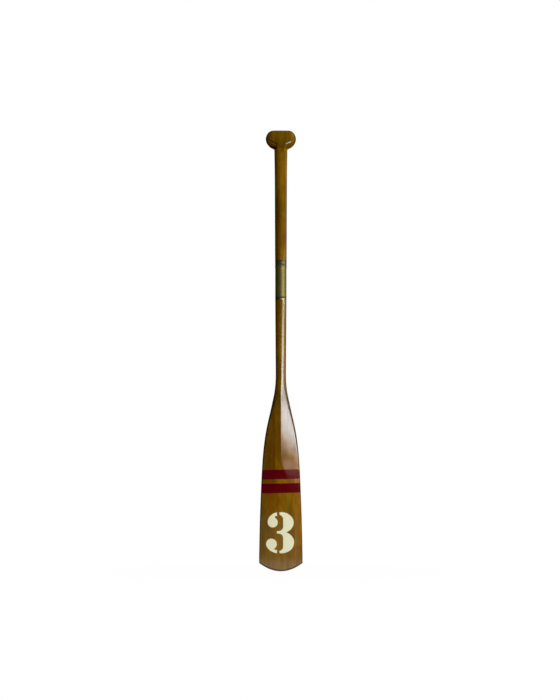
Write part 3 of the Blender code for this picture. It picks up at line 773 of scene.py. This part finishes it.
def numeral_distance(x, z):
    """Signed distance from a stencilled three, in two left arms and a right body."""
    lobes = [ellipse(x, z, centre, radii) for centre, radii in LOBES]
    counters = [rounded_box(x, z, low, high, COUNTER_CORNER) for low, high in COUNTERS]
    spike = (abs(z) - SPIKE_HALF_HEIGHT - x * SPIKE_TAPER).most(SPIKE_TIP - x)
    body = lobes[0].least(lobes[1]).most(spike.least(RIGHT_CUT - x))
    shape = body.most(-counters[0]).most(-counters[1])
    for side, arm, ball, inner, notch in zip((1, -1), ARMS, BALLS, ARM_INNER, NOTCHES):
        outline = ellipse(x, z, *arm)
        swell = outline.most(x - notch).most((ball[0][1] - z) * side)
        stroke = outline.most(x - LEFT_CUT).most((inner - z) * side)
        round_end = ellipse(x, z, ball[0], (ball[1], ball[1]))
        shape = shape.least(swell).least(stroke).least(round_end)
    return shape


def varnished_wood(name, heart, lean, seed, tint=(1.0, 1.0, 1.0), blade_tone=None, coat=0.10):
    """Stained, varnished wood. Heart is where the tree's centre lies, lean how the grain runs out."""
    wood = Finish(name, Coat_Weight=1.0, Coat_Roughness=coat, Coat_IOR=1.55)
    wood.shader.inputs["Specular IOR Level"].default_value = 0.015
    shift = (seed * 3.7, seed * 1.3, seed * 2.9)
    wander = wood.noise((9, 9, 1.7), shift, 1.0) - 0.5
    waver = wood.noise((30, 30, 5), shift, 2.0) - 0.5
    across = wood.x - heart[0] + wood.z * lean[0] + wander * 0.030
    out = wood.y - heart[1] + wood.z * lean[1] + wander * 0.022
    rings = (across * across + out * out).root() / RING_SPACING + waver * 1.1
    season = rings.math("FRACT")
    late = (season**2.5) * (1 - season.ramp(0.90, 1.0))
    streak = wood.noise((60, 60, 4.0), shift, 3.0, 0.5)
    fibre = wood.noise((900, 900, 22), shift, 2.0)
    cloud = wood.noise((22, 22, 6), shift, 2.0)
    shade = wood.noise((26, 26, 7), (shift[1], shift[2], shift[0]), 2.0)
    tone = shade.ramp(0.30, 0.70) * 0.56 + streak.ramp(0.25, 0.75) * 0.12
    tone = tone + (1 - late) * 0.18 + fibre * 0.14
    stops = [
        (0.05, (0.100, 0.046, 0.0002)),
        (0.50, (0.160, 0.078, 0.0008)),
        (0.95, (0.222, 0.116, 0.0035)),
    ]
    colour = wood.node("ValToRGB", {"stops": stops}, [tone])
    amber = wood.mix(1.0, colour, (1.06, 0.94, 1.0), "MULTIPLY")
    olive = wood.mix(1.0, colour, (0.96, 1.00, 0.7), "MULTIPLY")
    colour = wood.mix(cloud.ramp(0.36, 0.62), olive, amber)
    colour = wood.mix(1.0, colour, tint, "MULTIPLY")
    gloss = streak * 0.10 + wood.noise((60, 60, 25), shift, 3.0) * 0.10 + 0.30
    height = fibre * 0.25 + (1 - late) * 0.5
    colour = flamed(wood, colour, shift)
    if blade_tone:
        colour = weathered_with_painted_sheen(wood, colour, blade_tone)
        colour, gloss, height, paint = add_paint(wood, colour, gloss, height, blade_tone[0] ** 0.7)
        colour = dulled_and_shaded_edges(wood, colour, paint)
    else:
        colour = grip_painted_shade_and_dulling(wood, colour)
    wood.feed("Base Color", colour)
    wood.feed("Roughness", gloss)
    wood.bump(height, 0.00001)
    return wood.material


def grip_painted_shade_and_dulling(wood, colour):
    """Painted shade along the grip's crease, round its rim and under it, stronger on the left, a painted
    shadow under its left end, a painted highlight on a ridge below the crease, and painted shading
    that is darker low on the grip and lighter at its top. The upper shaft is lighter towards the top.

    The crease's line runs up to both sides. Above the neck the varnish shines only in a short
    line along the crease, because hands have dulled the rest.
    """
    reach = abs(wood.x)
    crease = wood.z - reach * CREASE_SLOPE - CREASE_LOW_Z + 0.0012
    # Painted shade: a dark line along the crease, stronger on the left side.
    line = 1 - abs(crease).ramp(0.0006, 0.0026)
    line = line * reach.ramp(0.004, 0.012) * (1 - reach.ramp(0.038, 0.048))
    line = line * (0.85 - wood.x.ramp(-0.004, 0.004) * 0.6)
    # Painted shade: the grip's rim, where its faces turn sideways, and its underside, darker on the left.
    normal = wood.node("TexCoord", output="Normal")
    facing = abs(wood.node("SeparateXYZ", {}, [normal], "Y"))
    under = 1 - wood.node("SeparateXYZ", {}, [normal], "Z").ramp(-0.70, -0.15)
    grip = wood.z.ramp(NECK_Z + 0.001, NECK_Z + 0.008)
    left = 1 - wood.x.ramp(-0.012, 0.012)
    rim = facing.ramp(0.02, 0.25) * (1 - facing.ramp(0.40, 0.88)) * (0.70 + left * 0.25)
    # Painted shadow: a dark elliptical patch under the grip's left end.
    aside = wood.x - PAINTED_SHADOW_X
    slant = wood.z - PAINTED_SHADOW_Z + aside * PAINTED_SHADOW_LEAN
    painted_shadow = (aside / PAINTED_SHADOW_RADII[0]) ** 2 + (slant / PAINTED_SHADOW_RADII[1]) ** 2
    painted_shadow = (1 - painted_shadow.ramp(0.35, 1.25)) * 1.08
    # Painted shade from the crease line, rim, underside and shadow patch darkens the colour; a painted
    # highlight lightens a band on the ridge below the crease.
    dark = line.most(rim * grip).most(under * grip * (0.4 + left * 0.3)).most(painted_shadow)
    painted_ridge_light = (1 - abs(crease + 0.006).ramp(0.0015, 0.0045)) * grip * reach.ramp(0.010, 0.018)
    colour = wood.tinted(painted_ridge_light, colour, (1.15, 1.06, 1.0))
    colour = wood.tinted(dark, colour, (0.22, 0.20, 0.25))
    neck = wood.z.ramp(NECK_Z - 0.006, NECK_Z)
    neck = neck * (1 - wood.z.ramp(CREASE_LOW_Z + 0.018, TOP_Z - 0.016))
    dull = (1 - reach.ramp(0.011, 0.016)).most(reach.ramp(0.031, 0.037))
    glint_z = wood.z - reach * 0.30
    dull = dull.most(1 - glint_z.ramp(CREASE_LOW_Z - 0.0021, CREASE_LOW_Z - 0.0009))
    wood.feed("Coat Weight", 1 - neck * dull * 0.97)
    # The shaft's colour is lighter towards its top.
    lightened = wood.z.ramp(*PALER_SHAFT) * (1 - grip)
    colour = wood.tinted(lightened, colour, (1.42, 1.46, 1.0))
    # Painted shading: the grip is painted darker near its lower edge and lighter towards its top.
    low = wood.mix(1.0, colour, (0.84, 0.82, 0.8), "MULTIPLY")
    high = wood.mix(1.0, colour, (1.22, 1.22, 1.1), "MULTIPLY")
    painted_grip_shading = wood.mix(wood.z.ramp(NECK_Z + 0.012, TOP_Z - 0.010), low, high)
    return wood.mix(grip, colour, painted_grip_shading)


def flamed(wood, colour, shift):
    """Broad flames of deeper and paler wood."""
    flame = wood.noise((30, 30, 13), (shift[2], shift[0], shift[1]), 3.0, 0.5, 1.2).ramp(0.42, 0.58)
    deep = wood.mix(1.0, colour, (0.95, 0.83, 0.8), "MULTIPLY")
    gold = wood.mix(1.0, colour, (1.07, 1.11, 1.0), "MULTIPLY")
    return wood.mix(flame, deep, gold)


def weathered_with_painted_sheen(wood, colour, tone):
    """The lower blade is bleached by water and is paler and greyer towards its tip, and a band about
    the stripes on its right side carries a painted sheen.
    """
    low = 1 - wood.z.ramp(*BLEACHED_BLADE)
    colour = wood.tinted(low, colour, tone)
    # Painted sheen: a band about the stripes, on the right side only, is painted lighter.
    lightened = wood.z.ramp(*PAINTED_SHEEN_BAND[:2]) * (1 - wood.z.ramp(*PAINTED_SHEEN_BAND[2:]))
    lightened = lightened * wood.x.ramp(0.0, 0.010)
    colour = wood.tinted(lightened, colour, (1.45, 1.30, 1.2))
    throat = wood.z.ramp(*THROAT_BAND)
    colour = wood.tinted(throat, colour, (1.12, 1.18, 1.0))
    # The colour is mixed towards a paler, greyer brown towards the tip.
    tip = (1 - wood.z.ramp(*PALER_TIP)) * 0.85 + (1 - wood.z.ramp(0.0, 0.10)) * 0.15
    return wood.mix(tip * 0.31, colour, (0.200, 0.128, 0.046))


def dulled_and_shaded_edges(wood, colour, paint):
    """Edges that turn away from the front are darkened with painted shade and have lost most of their
    varnish, and paint shines less.
    """
    normal = wood.node("TexCoord", output="Normal")
    facing = abs(wood.node("SeparateXYZ", {}, [normal], "Y"))
    edge = (1 - facing.ramp(0.90, 0.975)) * (1 - wood.z.ramp(*THROAT_BAND))
    wood.feed("Coat Weight", (1 - edge * 0.8) * (1 - paint * 0.70))
    # Painted shade: the turned-away edges are darkened.
    return wood.tinted(edge * 0.75, colour, (0.30, 0.27, 0.30))


def add_paint(wood, colour, gloss, height, depth):
    """Two burgundy stripes right round the blade, and a cream numeral on its front."""
    wobble = (wood.noise((160, 160, 160), detail=3.0) - 0.5) * 0.0009
    chip = wood.noise((420, 420, 420), detail=4.0, roughness=0.7)
    level = wood.z - wood.x * STRIPE_LEAN
    stripes = None
    for low, high in STRIPES:
        from_middle = abs(level - (low + high) / 2) - (high - low) / 2 + wobble
        inside = 1 - from_middle.ramp(-0.0002, 0.0003)
        stripes = inside if stripes is None else stripes.most(inside)
    distance = numeral_distance(wood.x - NUMERAL_CENTRE[0], wood.z - NUMERAL_CENTRE[1])
    worn = chip.ramp(0.63, 0.72) * 0.0012
    front = 1 - wood.y.ramp(-0.0015, -0.0005)
    numeral = (1 - (distance + wobble + worn).ramp(-0.0003, 0.0004)) * front
    brushed = wood.noise((10, 260, 260), detail=2.0)
    burgundy = wood.mix(brushed, (0.078 * depth, 0.0, 0.0018), (0.098 * depth, 0.0002, 0.0042))
    cream = wood.mix(chip.ramp(0.3, 0.7), (0.93, 0.91, 0.60), (1.0, 0.98, 0.71))
    colour = wood.mix(stripes, colour, burgundy)
    colour = wood.mix(numeral, colour, cream)
    paint = stripes.most(numeral)
    gloss = gloss + paint * 0.05
    height = height * (1 - paint * 0.7) + paint * 2.0
    return colour, gloss, height, paint


def aged_brass(name, dark, bright, seed, rough, metallic=1.0, worn=()):
    """Brass with a soft bloom, fine scratches and small dark spots, and rubbed bright at worn heights."""
    brass = Finish(name, Metallic=metallic)
    shift = (seed * 5.1, seed * 2.3, seed * 4.7)
    bloom = brass.noise((45, 45, 18), shift, 3.0, 0.6)
    rub = brass.noise((500, 500, 60), shift, 2.0)
    spots = brass.noise((700, 700, 700), shift, 2.0, 0.6).ramp(0.66, 0.76)
    colour = brass.mix(bloom.ramp(0.30, 0.70), dark, bright)
    colour = brass.mix(rub * 0.35, colour, bright)
    colour = brass.mix(spots * 0.7, colour, (0.045, 0.033, 0.016))
    gloss = bloom * 0.14 + rub * 0.12 + spots * 0.2 + rough
    metal = metallic
    for height, reach, shown, share in worn:
        mask = (1 - abs(brass.z - height).ramp(reach * 0.6, reach)) * (0.6 + bloom * 0.5)
        colour = brass.mix(mask, colour, shown)
        metal = mask * (share - metal) + metal
    if worn:
        brass.feed("Metallic", metal)
    brass.feed("Base Color", colour)
    brass.feed("Roughness", gloss)
    brass.bump(rub + spots * -0.6, 0.000012)
    return brass.material


def oiled_leather(name):
    leather = Finish(name)
    pores = leather.noise((1500, 1500, 1500), detail=3.0)
    cloud = leather.noise((120, 120, 120), detail=2.0)
    leather.feed("Base Color", leather.mix(cloud, (0.030, 0.016, 0.008), (0.075, 0.043, 0.020)))
    leather.feed("Roughness", pores * 0.3 + 0.5)
    leather.bump(pores, 0.0001)
    return leather.material


# Pieces


def make_handle():
    """The shaft with the grip's core, and the two cheeks glued to it."""
    blank = handle_blank()
    core = blank.copy()
    tint = (1.30, 1.38, 1.0)
    for side, place, heart in ((-1, "left", (-0.050, 0.030)), (1, "right", (0.046, 0.040))):
        cheek = blank.copy()
        keep_side(cheek, (side * GRIP_CORE_HALF_WIDTH, 0, 0), (-side, 0, 0))
        keep_side(cheek, (0, 0, NECK_Z), (0, 0, -1))
        lean = (0.02 * side, 0.03)
        wood = varnished_wood(f"cheek_wood_{place}", heart, lean, 3 + side, tint, coat=0.14)
        name, node = f"shaped_cheek_{place}", f"grip_cheek_{place}"
        piece(cheek, name, "handle_half", node, wood, 60)
        take_cheek_away(core, side)
    blank.free()
    wood = varnished_wood("shaft_wood", (0.012, 0.045), (0.010, 0.012), 1, (1.18, 1.26, 1.0))
    piece(core, "shaped_handle", "handle_half", "upper_shaft", wood, 60)


def make_blade():
    """The loom with the blade's centre stave, and two wing staves on each side."""
    blank = blade_blank()
    plain, pale = (1.0, 0.95, 0.8), (1.38, 1.44, 1.0)
    span = (-WING_EDGE, WING_EDGE)
    staves = [("loom", "shaped_loom", span, (0.004, 0.062), (0.006, 0.010), plain, pale)]
    sides = (
        (-1, "left", (0.92, 0.84, 0.7), (1.32, 1.42, 1.1)),
        (1, "right", plain, (1.50, 1.56, 1.2)),
    )
    widths = (("inner", WING_EDGE, OUTER_EDGE, 0.045), ("outer", OUTER_EDGE, math.inf, 0.030))
    for side, place, tint, tone in sides:
        for where, near, far, heart in widths:
            node, name = f"blade_wing_{place}_{where}", f"shaped_wing_{place}_{where}"
            span = sorted((side * near, side * far))
            lean = (0.012 * side, 0.008)
            staves.append((node, name, span, (side * heart, 0.055), lean, tint, tone))
    for number, (node, name, span, heart, lean, tint, tone) in enumerate(staves):
        stave = blank.copy()
        for place, outwards in zip(span, (-1, 1)):
            if math.isfinite(place):
                keep_side(stave, (place, 0, 0), (outwards, 0, 0))
        wood = varnished_wood(f"{name}_wood", heart, lean, 11 + number, tint, tone, 0.12)
        piece(stave, name, "blade_half", node, wood)
    blank.free()


def bead(middle, proud, steps=5):
    """A half-round bead or groove in the sleeve, as a profile that runs downwards."""
    turns = [math.pi * i / steps for i in range(steps + 1)]
    return [
        (SLEEVE_RADIUS + proud * math.sin(turn), middle + CRIMP_HALF_WIDTH * math.cos(turn))
        for turn in turns
    ]


def make_sleeve():
    """The long sleeve: a thicker mouth, a plain barrel, and a crimped groove between two beads."""
    bore = SLEEVE_RADIUS - SLEEVE_WALL
    band_low = SLEEVE_TOP_Z - MOUTH_BAND_HEIGHT
    crimp = SLEEVE_LOW_Z + CRIMP_HEIGHT
    profile = [(bore, SLEEVE_TOP_Z), (RING_RADIUS, SLEEVE_TOP_Z), (RING_RADIUS, band_low)]
    for i in range(1, 9):
        drop = smooth_step(i / 8)
        height = band_low - MOUTH_BAND_SLOPE * i / 8
        profile.append((RING_RADIUS + (SLEEVE_RADIUS - RING_RADIUS) * drop, height))
    for step, proud in ((2, BEAD_HEIGHT), (0, -CRIMP_DEPTH), (-2, BEAD_HEIGHT)):
        profile += bead(crimp + step * CRIMP_HALF_WIDTH, proud)
    profile += [(SLEEVE_RADIUS, SLEEVE_LOW_Z), (bore, SLEEVE_LOW_Z)]
    bm = turned(profile)
    ease_corners(bm, 0.0003, SLEEVE_TOP_Z)
    ease_corners(bm, 0.0004, SLEEVE_LOW_Z)
    worn = [
        (crimp, 0.0016, (0.060, 0.045, 0.014), 0.7),
        (SLEEVE_LOW_Z + 0.002, 0.0045, (0.34, 0.28, 0.16), 1.0),
    ]
    dark, bright = (0.146, 0.117, 0.018), (0.205, 0.172, 0.034)
    brass = aged_brass("sleeve_brass", dark, bright, 1, 0.29, 0.5, worn)
    piece(bm, "turned_sleeve", "blade_half", "ferrule_sleeve", brass)


def make_fitting():
    """The dark collar with its tang in the shaft, and the threaded spigot below it."""
    floor = COLLAR_LOW_Z + COLLAR_FLOOR
    bore = RING_RADIUS - COLLAR_WALL
    tip = TANG_GROOVE_DEPTH
    core = TANG_RADIUS - TANG_GROOVE_DEPTH
    length = TANG_TOP_Z - floor
    profile = [(0.0, TANG_TOP_Z), (core, TANG_TOP_Z), (TANG_RADIUS, TANG_TOP_Z - tip)]
    for i in range(TANG_GROOVES):
        z = TANG_TOP_Z - (i + 1) * length / (TANG_GROOVES + 2)
        profile += [
            (TANG_RADIUS, z),
            (core, z - TANG_GROOVE_WIDTH / 4),
            (core, z - TANG_GROOVE_WIDTH * 3 / 4),
            (TANG_RADIUS, z - TANG_GROOVE_WIDTH),
        ]
    profile += [(TANG_RADIUS, floor), (bore, floor), (bore, COLLAR_TOP_Z)]
    profile += [(RING_RADIUS, COLLAR_TOP_Z), (RING_RADIUS, COLLAR_LOW_Z), (0.0, COLLAR_LOW_Z)]
    bm = turned(profile)
    ease_corners(bm, 0.0004, COLLAR_LOW_Z, 60)
    ease_corners(bm, 0.0003, COLLAR_TOP_Z, 60)
    dark = aged_brass("collar_brass", (0.090, 0.068, 0.022), (0.140, 0.104, 0.036), 2, 0.27, 0.5)
    piece(bm, "turned_collar", "handle_half", "screw_fitting", dark)
    bright = aged_brass("thread_brass", (0.130, 0.100, 0.048), (0.300, 0.240, 0.120), 3, 0.24)
    thread = spigot_thread()
    piece(thread, "threaded_spigot", "handle_half", None, bright)


def spigot_thread():
    """A right-handed trapezoidal thread with eased crests, spun up a helix."""
    root = THREAD_RADIUS - THREAD_DEPTH
    half_crest = THREAD_PITCH / 4 - THREAD_DEPTH / 2 * THREAD_FLANK
    half_root = half_crest + THREAD_DEPTH * THREAD_FLANK
    ease = THREAD_ROUNDING
    flank = [
        (THREAD_RADIUS, half_crest - ease),
        (THREAD_RADIUS - ease, half_crest + ease * THREAD_FLANK),
        (root + ease, half_root - ease * THREAD_FLANK),
        (root, half_root + ease),
    ]
    profile = [(radius, -height) for radius, height in reversed(flank)] + flank
    profile.append((root, THREAD_PITCH - half_root - ease))
    high = COLLAR_LOW_Z + SEAM
    turns = math.ceil((high - SPIGOT_END_Z) / THREAD_PITCH) + 4
    start = COLLAR_LOW_Z - (turns - 2) * THREAD_PITCH
    bm = bmesh.new()
    verts = [bm.verts.new((radius, 0.0, start + height)) for radius, height in profile]
    edges = [bm.edges.new(pair) for pair in zip(verts, verts[1:])]
    bmesh.ops.spin(
        bm,
        geom=verts + edges,
        cent=(0, 0, 0),
        axis=(0, 0, 1),
        dvec=(0, 0, THREAD_PITCH / THREAD_STEPS),
        angle=2 * math.pi * turns,
        steps=THREAD_STEPS * turns,
    )
    bmesh.ops.remove_doubles(bm, verts=bm.verts, dist=0.000005)
    for vert in bm.verts:
        reach = math.hypot(vert.co.x, vert.co.y)
        limit = THREAD_RADIUS - SPIGOT_CHAMFER + (vert.co.z - SPIGOT_END_Z)
        limit = max(limit, root - THREAD_PITCH / 10)
        if reach > limit:
            vert.co.x *= limit / reach
            vert.co.y *= limit / reach
    for height, up in ((SPIGOT_END_Z, -1), (high, 1)):
        bmesh.ops.bisect_plane(
            bm, geom=whole(bm), plane_co=(0, 0, height), plane_no=(0, 0, up), clear_outer=True
        )
    rims = [edge for edge in bm.edges if edge.is_boundary]
    bmesh.ops.holes_fill(bm, edges=rims, sides=0)
    return bm


def make_washer():
    high, low, hole = WASHER_TOP_Z, WASHER_LOW_Z, WASHER_HOLE_RADIUS
    bm = turned([(hole, high), (SLEEVE_RADIUS, high), (SLEEVE_RADIUS, low), (hole, low)])
    ease_corners(bm, 0.0004, (low + high) / 2)
    leather = oiled_leather("washer_leather")
    piece(bm, "pressed_washer", "washer", "joint_washer", leather)


def make_pin(name, node, body, radius, material):
    """A cross pin whose ends are dressed to the round surface that they come out of."""
    low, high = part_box(node)
    height = (low.z + high.z) / 2
    bm = cylinder(PIN_RADIUS, 2 * radius, PIN_STEPS)
    for vert in bm.verts:
        end = math.copysign(math.sqrt(radius**2 - vert.co.x**2) + PIN_PROUD, vert.co.z)
        vert.co = (end, vert.co.x, vert.co.y + height)
    piece(bm, name, body, node, material)


def make_pins():
    brass = aged_brass("pin_brass", (0.150, 0.125, 0.055), (0.360, 0.300, 0.140), 4, 0.25)
    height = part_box("fitting_pin")[0].z + PIN_RADIUS
    make_pin("dressed_pin", "fitting_pin", "handle_half", shaft_radius(height), brass)
    for level in ("lower", "upper"):
        node = f"sleeve_pin_{level}"
        make_pin(f"dressed_{node}", node, "blade_half", SLEEVE_RADIUS, brass)


def dress_hidden_nodes():
    """Finishes for the modelled nodes that show only when the joint is apart."""
    brass = aged_brass("bush_brass", (0.150, 0.120, 0.055), (0.330, 0.270, 0.130), 5, 0.26)
    finishes = {"threaded_bush": brass}
    for number, level in enumerate(("lower", "upper")):
        wood = varnished_wood(f"dowel_wood_{level}", (0.0, 0.02), (0.0, 0.0), 21 + number)
        finishes[f"grip_dowel_{level}"] = wood
    for node, finish in finishes.items():
        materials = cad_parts[node].data.materials
        materials.clear()
        materials.append(finish)


# Studio


def make_camera():
    data = bpy.data.cameras.new("camera")
    data.sensor_width = LONG_SIDE
    data.lens = LONG_SIDE * CAMERA_DISTANCE / VIEW_HEIGHT
    data.clip_end = 100.0
    camera = placed("camera", data)
    x, y, z = VIEW_CENTRE
    camera.location = (x, y - CAMERA_DISTANCE, z)
    camera.rotation_euler = (math.radians(90), 0.0, 0.0)
    bpy.context.scene.camera = camera


def make_lamp(name, place, target, size, strength, glossy=True):
    """A soft rectangular lamp of one radiance, which the camera doesn't see."""
    data = bpy.data.lights.new(name, "AREA")
    data.shape = "RECTANGLE"
    data.size, data.size_y = size
    data.energy = strength * math.pi * size[0] * size[1]
    lamp = placed(name, data)
    lamp.location = place
    lamp.rotation_euler = (Vector(target) - Vector(place)).to_track_quat("-Z", "Y").to_euler()
    lamp.visible_camera = False
    lamp.visible_glossy = glossy
    return lamp


def round_the_oar(turn, distance, height):
    """A place at a turn to the right of the front, seen from the oar."""
    turn = math.radians(turn)
    return (distance * math.sin(turn), -distance * math.cos(turn), height)


def make_lights():
    """A softbox that the varnish mirrors, and plain lamps that only light."""
    for name, turn, width, low, high, strength, colour in SOFTBOX:
        height = (low + high) / 2
        place = round_the_oar(turn, SOFTBOX_DISTANCE, height)
        lamp = make_lamp(name, place, (0, 0, height), (width, high - low), strength)
        lamp.data.color = colour
    for name, turn, size, strength in PLAIN_LAMPS:
        place = round_the_oar(turn, PLAIN_LAMP_DISTANCE, 0.9)
        make_lamp(name, place, (0, 0, 0.8), size, strength, False)


def seen_or_mirrored(tree):
    """1 for a ray from the camera or a mirroring face, and 0 for a ray that only lights."""
    path = tree.nodes.new("ShaderNodeLightPath")
    seen = path.outputs["Is Camera Ray"]
    for other in ("Is Glossy Ray", "Is Transmission Ray"):
        most = tree.nodes.new("ShaderNodeMath")
        most.operation = "MAXIMUM"
        tree.links.new(seen, most.inputs[0])
        tree.links.new(path.outputs[other], most.inputs[1])
        seen = most.outputs[0]
    return seen


def make_world():
    """White for the camera and in reflections past the screens, and a low even light."""
    world = bpy.data.worlds.new("studio")
    world.use_nodes = True
    tree = world.node_tree
    background = tree.nodes["Background"]
    mix = tree.nodes.new("ShaderNodeMix")
    tree.links.new(seen_or_mirrored(tree), mix.inputs["Factor"])
    mix.inputs["A"].default_value = AMBIENT
    mix.inputs["B"].default_value = 1.0
    background.inputs["Color"].default_value = (1.0, 1.0, 1.0, 1.0)
    tree.links.new(mix.outputs["Result"], background.inputs["Strength"])
    bpy.context.scene.world = world


def make_screens():
    """Dark screens round the oar, open at the right, which only its varnish and brass see."""
    bm = cylinder(SCREEN_RADIUS, SCREEN_HEIGHT, SCREEN_STEPS)
    bmesh.ops.translate(bm, verts=bm.verts, vec=(0, 0, SCREEN_HEIGHT / 2 - 0.0001))
    bmesh.ops.bisect_plane(bm, geom=whole(bm), plane_co=(0, 0, OPEN_LOW_TOP), plane_no=(0, 0, 1))
    opening = []
    for face in bm.faces:
        middle = face.calc_center_median()
        turn = math.degrees(math.atan2(middle.x, -middle.y))
        start = OPEN_FROM if middle.z < OPEN_LOW_TOP else OPEN_HIGH_FROM
        if middle.xy.length > 1.0 and start < turn < OPEN_TO:
            opening.append(face)
    for low, high, hole in ((-1.0, 0.01, FLOOR_HOLE), (SCREEN_HEIGHT - 0.01, 10.0, ROOF_HOLE)):
        cap = [face for face in bm.faces if low < face.calc_center_median().z < high]
        bmesh.ops.inset_region(bm, faces=cap, thickness=SCREEN_RADIUS - hole, use_even_offset=True)
        opening += cap
    bmesh.ops.delete(bm, geom=opening, context="FACES")
    cloth = Finish("screen_cloth", Roughness=1.0)
    cloth.shader.inputs["Base Color"].default_value = (0.012, 0.012, 0.012, 1.0)
    cloth.shader.inputs["Specular IOR Level"].default_value = 0.0
    screens = as_object(bm, "screens", cloth.material)
    screens.visible_camera = False
    screens.visible_diffuse = False
    screens.visible_transmission = False
    screens.visible_shadow = False


def make_floor():
    """White paper that takes the oar's shadow and fades to pure white at its edge."""
    bm = bmesh.new()
    bmesh.ops.create_grid(bm, x_segments=1, y_segments=1, size=FLOOR_HALF_WIDTH)
    paper = Finish("white_paper", Roughness=0.9)
    paper.shader.inputs["Base Color"].default_value = (0.85, 0.85, 0.85, 1.0)
    tree = paper.tree
    glow = tree.nodes.new("ShaderNodeEmission")
    mix = tree.nodes.new("ShaderNodeMixShader")
    edge = (paper.x * paper.x + paper.y * paper.y).root().ramp(0.25, 0.80)
    share = Wire(paper, seen_or_mirrored(tree)) * (edge * FLOOR_SHADE + (1 - FLOOR_SHADE))
    tree.links.new(share.socket, mix.inputs[0])
    tree.links.new(paper.shader.outputs[0], mix.inputs[1])
    tree.links.new(glow.outputs[0], mix.inputs[2])
    tree.links.new(mix.outputs[0], tree.nodes["Material Output"].inputs["Surface"])
    floor = as_object(bm, "floor", paper.material)
    floor.location = (0.0, 0.0, CAD_LOW.z - 0.0005)


make_camera()
make_handle()
make_blade()
make_sleeve()
make_fitting()
make_washer()
make_pins()
dress_hidden_nodes()
make_lights()
make_world()
make_screens()
make_floor()
bpy.context.scene.view_settings.view_transform = "Standard"
